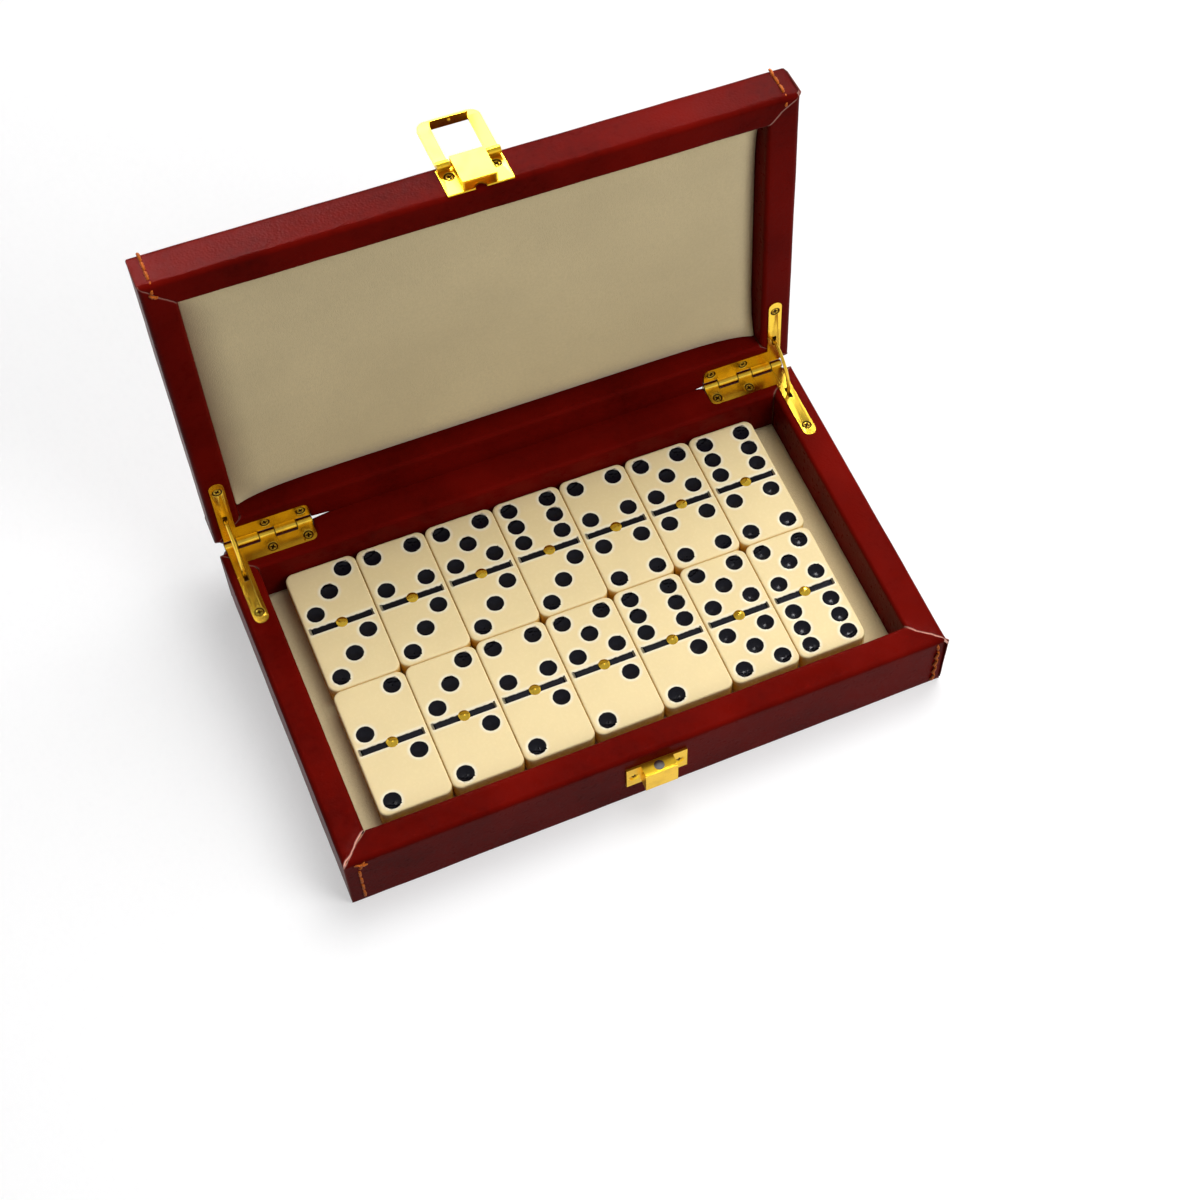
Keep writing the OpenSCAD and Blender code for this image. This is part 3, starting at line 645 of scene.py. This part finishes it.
def group(name, inputs, outputs):
    """An empty shader node group with named value sockets."""
    tree = bpy.data.node_groups.new(name, "ShaderNodeTree")
    for key, default in inputs.items():
        socket = tree.interface.new_socket(key, in_out="INPUT", socket_type="NodeSocketFloat")
        socket.default_value = default
    for key in outputs:
        tree.interface.new_socket(key, in_out="OUTPUT", socket_type="NodeSocketFloat")
    return tree, tree.nodes.new("NodeGroupInput").outputs, tree.nodes.new("NodeGroupOutput").inputs


def patches_group():
    """Soft patches in two sizes on Object coordinates: Patches is 0 to 1, Specks is finer."""
    tree, given, result = group("Soft_Patches", {"Size": 0.02, "Speck Size": 0.002},
                                ("Patches", "Specks"))
    place = add(tree, "TexCoord").outputs["Object"]
    for key, size, detail in (("Patches", "Size", 3.0), ("Specks", "Speck Size", 2.0)):
        scale = maths(tree, "DIVIDE", 1.0, given[size])
        noise = add(tree, "TexNoise", {"Vector": place, "Scale": scale, "Detail": detail})
        tree.links.new(scaled(tree, noise.outputs["Fac"], 0, 1, 0.3, 0.7), result[key])


def grain_group():
    """Fine relief on Object coordinates: cells with creases between them and soft hollows."""
    tree, given, result = group("Fine_Relief", {"Cell": 0.0007, "Hollows": 0.4}, ("Relief",))
    place = add(tree, "TexCoord").outputs["Object"]
    scale = maths(tree, "DIVIDE", 1.0, given["Cell"])
    warp = add(tree, "TexNoise", {"Vector": place, "Scale": scale, "Detail": 2.0})
    cells = add(tree, "TexVoronoi", {"Vector": place, "Scale": scale}, feature="SMOOTH_F1")
    cells.inputs["Smoothness"].default_value = 0.4
    hollows = maths(tree, "MULTIPLY", warp.outputs["Fac"], given["Hollows"])
    domes = scaled(tree, cells.outputs["Distance"], 0, 0.7, 0, 0.8, True)
    tree.links.new(maths(tree, "ADD", domes, hollows), result["Relief"])


def material(name, shader):
    """A new node material whose fixed values are set on the Principled BSDF's own sockets."""
    made = bpy.data.materials.new(name)
    made.use_nodes = True
    for key, value in shader.items():
        made.node_tree.nodes["Principled BSDF"].inputs[key].default_value = value
    return made, made.node_tree


def use_group(tree, name, *values):
    """The outputs of a shared node group placed in a material with its own values."""
    return add(tree, "Group", dict(enumerate(values)), node_tree=bpy.data.node_groups[name]).outputs


def dress(tree, colour, roughness, height, depth):
    """Gives the shader its colour and roughness, and a relief whose depth is in metres."""
    normal = add(tree, "Bump", {"Height": height, "Distance": depth}).outputs["Normal"]
    for key, value in (("Base Color", colour), ("Roughness", roughness), ("Normal", normal)):
        tree.links.new(value, tree.nodes["Principled BSDF"].inputs[key])


def seen_rays(tree):
    """1 for rays from the camera and for mirrored or refracted ones, which show the background."""
    path = add(tree, "LightPath").outputs
    seen = maths(tree, "MAXIMUM", path["Is Camera Ray"], path["Is Glossy Ray"])
    return maths(tree, "MAXIMUM", seen, path["Is Transmission Ray"])


def drawn_noise(tree, scale, detail):
    """Noise on Object coordinates, drawn out along X."""
    place = add(tree, "TexCoord").outputs["Object"]
    place = add(tree, "Mapping", {"Vector": place, "Scale": scale}).outputs[0]
    return add(tree, "TexNoise", {"Vector": place, "Scale": 1.0, "Detail": detail}).outputs["Fac"]


def colours():
    """The colours set on the scene."""
    return bpy.context.scene.domino_box_colours


def darker(colour, share):
    """A share of a colour's light."""
    return tuple(v * share for v in colour)


def leather_finish():
    """Glossy dyed leather: patchy dark red, fine grain, and pale fibres where it is cut."""
    c = colours()
    made, tree = material("Box_leather", {"Specular IOR Level": 0.014})
    soft = use_group(tree, "Soft_Patches", 0.03, 0.0022)
    fine = use_group(tree, "Fine_Relief", 0.0008, 0.9)
    colour = blend(tree, soft["Patches"], c.leather_deep, c.leather)
    colour = blend(tree, scaled(tree, soft["Specks"], 0, 0.28), colour, c.leather)
    raw = field(tree, "raw")
    colour = blend(tree, raw, colour, c.raw_edge)
    rough = maths(tree, "ADD", scaled(tree, soft["Specks"], 0.26, 0.36), scaled(tree, raw, 0, 0.4))
    dress(tree, colour, rough, fine["Relief"], 0.00004)
    return made


def lining_finish():
    """Short napped suede cloth: pale beige with faint brushed patches and a fine nap."""
    cloth = colours().lining
    made, tree = material("Suede_lining", {
        "Sheen Weight": 0.25, "Sheen Roughness": 0.5, "Specular IOR Level": 0.2})
    soft = use_group(tree, "Soft_Patches", 0.04, 0.0009)
    fine = use_group(tree, "Fine_Relief", 0.00035, 1.2)
    colour = blend(tree, soft["Patches"], darker(cloth, 0.88), cloth)
    colour = blend(tree, scaled(tree, soft["Specks"], 0, 0.35), colour, darker(cloth, 0.78))
    dress(tree, colour, scaled(tree, soft["Specks"], 0.85, 0.98), fine["Relief"], 0.00008)
    return made


def metal_finish(name, bright, dull, rough_low, rough_high):
    """Metal with dull patches, small specks of tarnish and fine hairline wear; marked points are
    darkened with dirt and painted shade.
    """
    made, tree = material(name, {"Metallic": 1.0})
    soft = use_group(tree, "Soft_Patches", 0.006, 0.0007)
    amount = scaled(tree, soft["Patches"], 0, 0.3, 0.45, 1.0, True)
    specks = scaled(tree, soft["Specks"], 0, 0.4, 0.85, 1.0, True)
    colour = blend(tree, specks, blend(tree, amount, bright, dull), dull)
    # Darkening of marked points: dirt and painted shade in screw seats and crosses, painted shade in
    # the gaps between hinge knuckles.
    grime = field(tree, "grime")
    colour = blend(tree, grime, colour, (0.03, 0.011, 0.004))
    rough = maths(tree, "ADD", scaled(tree, soft["Patches"], rough_low, rough_high),
                  scaled(tree, grime, 0, 0.3))
    dress(tree, colour, rough, drawn_noise(tree, (200.0, 7000.0, 7000.0), 1.0), 0.000002)
    return made


def tile_finish():
    """Cream tile: black painted hollows, a paler ring round them and amber in the edges, the tiles'
    own tone brightened as a painted glow of light through them.
    """
    ivory = colours().ivory
    made, tree = material("Cream_tile", {
        "Subsurface Weight": 0.06, "Subsurface Radius": (0.003, 0.002, 0.001),
        "Specular IOR Level": 0.12})
    soft = use_group(tree, "Soft_Patches", 0.014, 0.0012)
    ink = field(tree, "ink")
    body = blend(tree, soft["Patches"], darker(ivory, 0.95), ivory)
    body = blend(tree, scaled(tree, ink, 0.5, 0.0, 0.1, 1.3, True), body, (0.86, 0.86, 0.77))
    # Amber sides: the tiles' own tone, made brighter as a painted glow of light shining through the
    # translucent sides.
    body = blend(tree, field(tree, "edge"), body, (0.8, 0.46, 0.06))
    line = maths(tree, "ADD", ink, scaled(tree, soft["Specks"], -0.05, 0.05))
    painted = scaled(tree, line, 1.0, 0.0, -0.09, 0.03, True)
    colour = blend(tree, painted, body, (0.006, 0.006, 0.009))
    rough = maths(tree, "ADD", scaled(tree, painted, 0.22, 0.16),
                  scaled(tree, soft["Specks"], 0, 0.08))
    dress(tree, colour, rough, soft["Specks"], 0.00001)
    return made


def fibre_finish(name, shader, patch, speck, low, high, rough, depth):
    """Thread or card: colour and relief follow fine specks, the roughness broader patches."""
    made, tree = material(name, shader)
    soft = use_group(tree, "Soft_Patches", patch, speck)
    colour = blend(tree, soft["Specks"], low, high)
    dress(tree, colour, scaled(tree, soft["Patches"], *rough), soft["Specks"], depth)
    return made


def wood_finish():
    """Plain pale wood with long grain, seen only in the mortises and at a gap in the leather."""
    made, tree = material("Pale_wood", {"Specular IOR Level": 0.3})
    rings = drawn_noise(tree, (20.0, 260.0, 260.0), 4.0)
    colour = blend(tree, scaled(tree, rings, 0, 1, 0.3, 0.7), (0.34, 0.19, 0.09), (0.55, 0.37, 0.2))
    dress(tree, colour, scaled(tree, rings, 0.6, 0.8), rings, 0.0001)
    return made


# The finish of each slot, and a satin one for the hasp and the catch
FINISHES = {
    "leather": leather_finish,
    "cloth": lining_finish,
    "ivory": tile_finish,
    "wood": wood_finish,
    "thread": lambda: fibre_finish(
        "Orange_thread", {"Sheen Weight": 0.05, "Specular IOR Level": 0.25}, 0.002, 0.0003,
        darker(colours().thread, 0.45), colours().thread, (0.5, 0.7), 0.00008),
    "card": lambda: fibre_finish(
        "Covering_card", {"Specular IOR Level": 0.2}, 0.03, 0.0008,
        (0.16, 0.1, 0.06), (0.22, 0.15, 0.09), (0.75, 0.9), 0.00005),
    "brass": lambda: metal_finish(
        "Polished_brass", colours().brass, colours().brass_dull, 0.17, 0.26),
    "satin": lambda: metal_finish(
        "Satin_brass", colours().brass_satin, colours().brass_dull, 0.3, 0.42),
    "steel": lambda: metal_finish(
        "Worn_steel", (0.36, 0.34, 0.33), (0.16, 0.13, 0.12), 0.4, 0.55),
}
SATIN_NODES = ("catch_plate", "hasp_plate", "hasp_loop")
MADE = {}


def finish(name):
    """The named finish, built once."""
    if name not in MADE:
        MADE[name] = FINISHES[name]()
    return MADE[name]


# Operators, one for each piece or group of pieces


class BoxOperator:
    """What the operators share."""

    bl_options = {"REGISTER"}

    def mm(self, key):
        """One of the sizes set on the scene, in millimetres."""
        return getattr(bpy.context.scene.domino_box_sizes, key) / MM

    def leather(self, body, *seams):
        """Leather over one body; the seams are its front right, rear right and left corners."""
        leather_shell(body, seams, self.mm("leather_swell"), self.mm("leather_thickness"),
                      self.mm("right_swell"))
        return {"FINISHED"}


def corner(gap, lift, flap, bare, phase, right=False):
    """How one corner's mitre was cut and glued, and whether it is on the right."""
    return {"gap": gap, "lift": lift, "flap": flap, "bare": bare, "phase": phase, "right": right,
            "hand": 1}


class DOMINOBOX_OT_base_leather(BoxOperator, bpy.types.Operator):
    """Leather over the base: four strips with hand cut mitres on the rim."""

    bl_idname = "domino_box.base_leather"
    bl_label = "Base leather"

    def execute(self, context):
        return self.leather(
            "base",
            corner(0.3, 0.42, self.mm("flap_reach"), 1.0, 0.6, True),
            corner(0.12, 0, 0, 0.35, 2.0, True),
            corner(0.12, 0, 0, 0.3, 4.0),
            corner(0.95, 0.35, 0, 1.0, 1.2))


class DOMINOBOX_OT_lid_leather(BoxOperator, bpy.types.Operator):
    """Leather over the lid: its top, sides, rim and the inside of its walls."""

    bl_idname = "domino_box.lid_leather"
    bl_label = "Lid leather"

    def execute(self, context):
        return self.leather(
            "lid",
            corner(0.2, 0.1, 0.5, 0.55, 3.0, True),
            corner(0.1, 0, 0, 0.2, 1.0, True),
            corner(0.1, 0, 0, 0.2, 5.0),
            corner(0.12, 0, 0, 0.35, 2.4))


class DOMINOBOX_OT_tray_lining(BoxOperator, bpy.types.Operator):
    """Cloth laid in the tray: a thin sheet with faint hollows."""

    bl_idname = "domino_box.tray_lining"
    bl_label = "Tray lining"

    def execute(self, context):
        low, high = (np.array(v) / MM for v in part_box("tray_lining"))
        points = flat_grid(low, high, high[2], 150, 90)
        points[..., 2] += 0.03 * wavy(points, 41, 18) - 0.04
        points = points.reshape(-1, 3)
        faces = facing(points, grid_faces(150, 90), (0, 0, 1))
        cloth = piece("tray_cloth", "tray_lining", points, faces)
        wall = cloth.modifiers.new("Cloth thickness", "SOLIDIFY")
        wall.thickness = CLOTH_T * MM
        return {"FINISHED"}


class DOMINOBOX_OT_lid_padding(BoxOperator, bpy.types.Operator):
    """Padded cloth panel in the lid: swollen, with a soft shoulder and corners standing forward."""

    bl_idname = "domino_box.lid_padding"
    bl_label = "Lid padding"

    def execute(self, context):
        half_x, half_y = PAD_HALF
        rings = np.array([[0.3, 0.0], [0.6, -0.05], [0.75, -0.15], [PAD_EDGE_R, -0.3],
                          [PAD_EDGE_R, -0.5]])
        t = np.linspace(-1, 1, 131)
        spread = 0.45 * t + 0.55 * np.sin(np.pi / 2 * t)
        points, faces, loop, ring = rounded_grid(
            spread * (half_x - PAD_EDGE_R), spread[::2] * (half_y - PAD_EDGE_R), rings)
        from_x = half_x - np.abs(points[..., 0])
        from_y = half_y - np.abs(points[..., 1])
        rise_x, rise_y = (1 - (1 - np.clip(v / PAD_SHOULDER, 0, 1)) ** 2 for v in (from_x, from_y))
        shoulder = rise_x * rise_y
        crown = np.clip(from_x * from_y / half_x / half_y, 0, 1)
        thick = (self.mm("pad_rise") * shoulder
                 + self.mm("pad_corner") * np.exp(-(from_x + from_y) / 8)
                 + 0.3 * crown + 0.07 * wavy(points, 51, 40) * shoulder + 0.12)
        fall = -points[..., 2]
        height = np.where(fall > 0, np.maximum(thick - fall, 0.03), thick)
        height[ring == ring.max()] = 0.0
        points[..., 2] = CARD_Z - height
        points = points.reshape(-1, 3)
        faces = facing(points, faces, (0, 0, -1)) + [loop.tolist()]
        pad = piece("lid_pad_cloth", "lid_lining_pad", points, faces)
        work = bmesh.new()
        work.from_mesh(pad.data)
        bmesh.ops.recalc_face_normals(work, faces=work.faces)
        work.to_mesh(pad.data)
        work.free()
        return {"FINISHED"}


class DOMINOBOX_OT_tiles(BoxOperator, bpy.types.Operator):
    """The fourteen tiles in the tray with hollowed pips, a sunk bar and a round headed pin."""

    bl_idname = "domino_box.tiles"
    bl_label = "Tiles"

    def execute(self, context):
        r, depth = self.mm("pip_size") / 2, self.mm("pip_depth")
        ball = (r * r + depth * depth) / (2 * depth)
        thick, inner_r = TILE_TOP - TRAY_TOP, TILE_R - EDGE_R
        turn = np.radians(np.linspace(0, 90, 7))[1:]
        lower = turn[1::2]
        rings = np.concatenate([
            [[0.6, 0], [1.2, 0], [1.8, 0], [inner_r, 0]],
            np.stack([inner_r + EDGE_R * np.sin(turn), EDGE_R * (np.cos(turn) - 1)],
                     axis=1),
            [[TILE_R, -3.0], [TILE_R, -5.0]],
            np.stack([inner_r + EDGE_R * np.cos(lower),
                      -thick + EDGE_R - EDGE_R * np.sin(lower)], axis=1),
        ])
        half_x, half_y = TILE_W / 2 - TILE_R, TILE_L / 2 - TILE_R
        ys = np.linspace(-half_y, half_y, 100)
        bar_x, bar_y = BAR_HALF
        steps = [side * (bar_y + out) for side in (-1, 1) for out in (-0.08, 0.08)]
        ys = np.sort(np.concatenate([ys[np.abs(np.abs(ys) - bar_y) > 0.2], steps]))
        shape, faces, loop, _ = rounded_grid(np.linspace(-half_x, half_x, 44), ys, rings)
        x, y, fall = shape[..., 0], shape[..., 1], -shape[..., 2]
        for i, pair in enumerate(HALVES):
            ink = np.maximum(np.abs(x) - bar_x, np.abs(y) - bar_y)
            sunk = 0.5 * smooth(-ink, -0.08, 0.08)
            for side, count in zip((1, -1), pair):
                for px, py in PLACES[count]:
                    away = np.hypot(x - px * PIP_X, y - side * PIP_MID - py * PIP_Y)
                    bowl = np.sqrt(np.maximum(ball ** 2 - away ** 2, 0)) - ball + depth
                    bowl += 0.16 * np.clip(1 - away / 0.55, 0, 1)
                    sunk = np.maximum(sunk, bowl * (away < r))
                    ink = np.minimum(ink, away - r)
            points = shape.copy()
            points[..., 2] = thick - fall - sunk * (fall < 0.2)
            points += (ROW_X + (i % 7) * TILE_PITCH, BACK_ROW_Y - (i // 7) * ROW_PITCH,
                       TRAY_TOP)
            flat = points.reshape(-1, 3)
            middle = flat.mean(axis=0) * [1, 1, 0] + [0, 0, TRAY_TOP + 1.5]
            quads = facing(flat, faces, flat - middle) + [loop[::-1].tolist()]
            name = f"tile_{i + 1}"
            piece(name + "_body", name, flat, quads, ink=ink + 6 * smooth(fall, 0.3, 0.8),
                  edge=smooth(fall, 0.1, 1.3))
            self.pin(name, flat.mean(axis=0))
        return {"FINISHED"}

    def pin(self, name, centre):
        """Round brass head turned from a low arc with a small flat foot."""
        ball = (PIN_R ** 2 + PIN_RISE ** 2) / (2 * PIN_RISE)
        rim = np.linspace(0.04, PIN_R, 9)
        height = np.append(np.sqrt(ball ** 2 - rim ** 2) - ball + PIN_RISE, -0.02)[:, None]
        rim = np.append(rim, PIN_R * 0.98)[:, None]
        a = np.linspace(0, 2 * np.pi, 28, endpoint=False)
        points = np.stack([
            centre[0] + rim * np.cos(a), centre[1] + rim * np.sin(a), TILE_TOP + height + 0 * a,
        ], axis=-1).reshape(-1, 3)
        piece(name + "_pin_head", name + "_pin", points, turned_faces(len(rim), len(a)))


class DOMINOBOX_OT_brass(BoxOperator, bpy.types.Operator):
    """Hinges, stays, hasp and catch with softened edges and polished brass."""

    bl_idname = "domino_box.brass"
    bl_label = "Brass and steel"

    def execute(self, context):
        for node, slot in SLOT_OF.items():
            if slot not in ("brass", "steel") or node.startswith("tile_") or "screws" in node:
                continue
            share = 0.4 if "pin" in node else 2 if node == "catch_plate" else 1
            obj = finished_copy(node, context.scene.domino_box_sizes.brass_edge * share)
            obj.data.materials.clear()
            obj.data.materials.append(finish("satin" if node in SATIN_NODES else slot))
            settle(obj, node)
        return {"FINISHED"}


class DOMINOBOX_OT_screws(BoxOperator, bpy.types.Operator):
    """Cross head screws sunk in worn seats of the leaves, the hasp and the catch; dirt and painted
    shade darken the seats and the crosses.
    """

    bl_idname = "domino_box.screws"
    bl_label = "Screws"

    def execute(self, context):
        leaf = [(s * (HALF_W - p), HALF_D - q) for s in (-1, 1) for p, q in LEAF_SCREWS]
        catch, hasp = ([(s * x, -HALF_D - PLATE_T, z) for s in (-1, 1)]
                       for x, z in (CATCH_SCREW, HASP_SCREW))
        groups = {
            "base_hinge_screws": ([(*at, BASE_RIM + LEAF_OUT) for at in leaf], (0, 0, 1)),
            "lid_hinge_screws": ([(*at, LID_RIM - LEAF_OUT) for at in leaf], (0, 0, -1)),
            "catch_screws": (catch, (0, -1, 0)),
            "hasp_screws": (hasp, (0, -1, 0)),
        }
        for number, (node, (places, out)) in enumerate(groups.items()):
            shapes = [screw_shape(0.5 + 1.3 * (i + 3 * number), place, out)
                      for i, place in enumerate(places)]
            points, faces = joined(shape[:2] for shape in shapes)
            grime = np.concatenate([shape[2] for shape in shapes])
            piece(node + "_heads", node, points, faces, grime=grime)
        return {"FINISHED"}


class DOMINOBOX_OT_stitching(BoxOperator, bpy.types.Operator):
    """Orange thread through the front corners of the base and the lid."""

    bl_idname = "domino_box.stitching"
    bl_label = "Stitching"

    def execute(self, context):
        r = self.mm("thread") / 2
        front, y = (0, -1, 0), -HALF_D
        base = []
        for z in (2.2, 6.9, 11.6, 16.3):
            base += [((99.5, y - 0.2, z), (100.5, y - 0.2, z + 3.3), front),
                     ((-97.6, y + 0.25, z), (-97.5, y + 0.25, z + 3.9), front)]
        base += [((100.2, y - 0.1, 21.0), (99.5, y + 1.1, 25.4), (0, -0.8, 0.6)),
                 ((-97.3, y, 21.5), (-95.0, y + 0.9, 25.2), (0, -0.8, 0.6)),
                 ((-98.8, y + 0.5, 24.4), (-94.6, y + 0.1, 22.8), (0, -0.9, 0.4))]
        piece("base_stitch_thread", "base_stitching", *stitches(base, r))
        lid = []
        for x in (-98.0, 98.4):
            lean = 0.15 if x > 0 else -0.05
            lid += [((x, y, z), (x + lean, y, z + 3.1), front) for z in (30.0, 33.9, 37.6)]
            lid.append(((x + 0.2, y + 0.2, 28.9), (x - 0.5, y + 3.1, 26.95), (0, -0.6, -0.8)))
        lid.append(((-97.2, y + 4.9, 27.0), (-99.2, y + 3.5, 27.0), (0, 0, -1)))
        piece("lid_stitch_thread", "lid_stitching", *stitches(lid, r))
        return {"FINISHED"}


class DOMINOBOX_OT_carcass(BoxOperator, bpy.types.Operator):
    """Wood and card inside the box and under it keep their CAD shapes and get their finishes."""

    bl_idname = "domino_box.carcass"
    bl_label = "Wood and card"

    def execute(self, context):
        for node, slot in SLOT_OF.items():
            if slot in ("wood", "card"):
                mesh = frame["nodes"][node].data
                mesh.materials.clear()
                mesh.materials.append(finish(slot))
        return {"FINISHED"}


class DOMINOBOX_OT_stage(BoxOperator, bpy.types.Operator):
    """Pale floor, soft lamps, world and the camera."""

    bl_idname = "domino_box.stage"
    bl_label = "Stage"

    def execute(self, context):
        scene = context.scene
        mesh = bpy.data.meshes.new("floor")
        f = FLOOR_HALF
        mesh.from_pydata([(-f, -f, 0), (f, -f, 0), (f, f, 0), (-f, f, 0)], [], [(0, 1, 2, 3)])
        floor = linked("floor", mesh)
        made, tree = material("Pale_floor", {
            "Base Color": (0.95, 0.945, 0.95, 1), "Roughness": 0.7, "Specular IOR Level": 0.1})
        bsdf = tree.nodes["Principled BSDF"]
        glow = add(tree, "Emission")
        dim = add(tree, "BsdfDiffuse", {"Color": (0.33, 0.32, 0.32, 1)})
        place = add(tree, "TexCoord").outputs["Object"]
        away = add(tree, "VectorMath", {0: place}, operation="LENGTH").outputs["Value"]
        far = scaled(tree, away, 0.45, 1.0, 0.3, 0.8, True)
        lit = add(tree, "MixShader", {0: far, 1: bsdf.outputs[0], 2: glow.outputs[0]})
        both = add(tree, "MixShader", {0: seen_rays(tree), 1: dim.outputs[0], 2: lit.outputs[0]})
        tree.links.new(both.outputs[0], tree.nodes["Material Output"].inputs["Surface"])
        mesh.materials.append(made)
        self.room(scene)
        for name, place, width, power in LAMPS:
            lamp = bpy.data.lights.new(name, "AREA")
            lamp.size = width
            lamp.energy = power
            obj = linked(name, lamp)
            obj.location = place
            obj.rotation_euler = (Vector(AIM) - Vector(place)).to_track_quat("-Z", "Y").to_euler()
            obj.visible_camera = obj.visible_glossy = False
        self.camera(scene)
        scene.view_settings.view_transform = "Standard"
        return {"FINISHED"}

    def room(self, scene):
        """Pale room whose soft boxes only the camera's, mirrored and refracted rays see."""
        world = bpy.data.worlds.new("Pale_room")
        world.use_nodes = True
        tree = world.node_tree
        way = add(tree, "TexCoord").outputs["Generated"]
        height = add(tree, "SeparateXYZ", {0: way}).outputs["Z"]
        sky = scaled(tree, height, 1.0, 0.5, 0.3, 0.75, True)
        for *angles, bright in SOFT_BOXES:
            turn, rise, inner, outer = (math.radians(v) for v in angles)
            towards = (math.cos(turn) * math.cos(rise), math.sin(turn) * math.cos(rise),
                       math.sin(rise))
            near = add(tree, "VectorMath", {0: way, 1: towards}, operation="DOT_PRODUCT")
            shine = scaled(tree, near.outputs["Value"], 0.0, bright, math.cos(outer),
                           math.cos(inner), True)
            sky = maths(tree, "ADD", sky, shine)
        background = tree.nodes["Background"]
        power = scaled(tree, seen_rays(tree), SOFT_WORLD, sky)
        tree.links.new(power, background.inputs["Strength"])
        background.inputs["Color"].default_value = (1, 1, 1, 1)
        scene.world = world

    def camera(self, scene):
        """Camera with the photograph's place, turn, lens and shift."""
        data = bpy.data.cameras.new("photo_camera")
        data.lens = LENS
        data.shift_x, data.shift_y = SHIFT
        data.clip_start = 0.01
        obj = linked("photo_camera", data)
        right, ahead = (Vector(v).normalized() for v in (CAMERA_RIGHT, CAMERA_AHEAD))
        up = right.cross(ahead).normalized()
        turn = Matrix((right, up, -ahead)).transposed()
        obj.matrix_world = Matrix.Translation(CAMERA_AT) @ turn.to_4x4()
        scene.camera = obj


class DOMINOBOX_PT_panel(bpy.types.Panel):
    """Sidebar panel with the box's sizes, colours and pieces."""

    bl_idname = "DOMINOBOX_PT_panel"
    bl_label = "Domino Box"
    bl_space_type = "VIEW_3D"
    bl_region_type = "UI"
    bl_category = "Domino Box"

    def draw(self, context):
        for settings in (context.scene.domino_box_sizes, context.scene.domino_box_colours):
            for key in settings.__annotations__:
                self.layout.prop(settings, key)
        for operator in OPERATORS:
            self.layout.operator(operator.bl_idname)


OPERATORS = (
    DOMINOBOX_OT_stage,
    DOMINOBOX_OT_carcass,
    DOMINOBOX_OT_base_leather,
    DOMINOBOX_OT_lid_leather,
    DOMINOBOX_OT_tray_lining,
    DOMINOBOX_OT_lid_padding,
    DOMINOBOX_OT_tiles,
    DOMINOBOX_OT_brass,
    DOMINOBOX_OT_screws,
    DOMINOBOX_OT_stitching,
)
CLASSES = (DominoBoxSizes, DominoBoxColours, *OPERATORS, DOMINOBOX_PT_panel)


def register():
    for cls in CLASSES:
        bpy.utils.register_class(cls)
    bpy.types.Scene.domino_box_sizes = bpy.props.PointerProperty(type=DominoBoxSizes)
    bpy.types.Scene.domino_box_colours = bpy.props.PointerProperty(type=DominoBoxColours)


def unregister():
    del bpy.types.Scene.domino_box_colours
    del bpy.types.Scene.domino_box_sizes
    for cls in reversed(CLASSES):
        bpy.utils.unregister_class(cls)


def main():
    """Builds everything in order."""
    register()
    patches_group()
    grain_group()
    for operator in OPERATORS:
        area, name = operator.bl_idname.split(".")
        getattr(getattr(bpy.ops, area), name)()


if __name__ == "__main__":
    main()
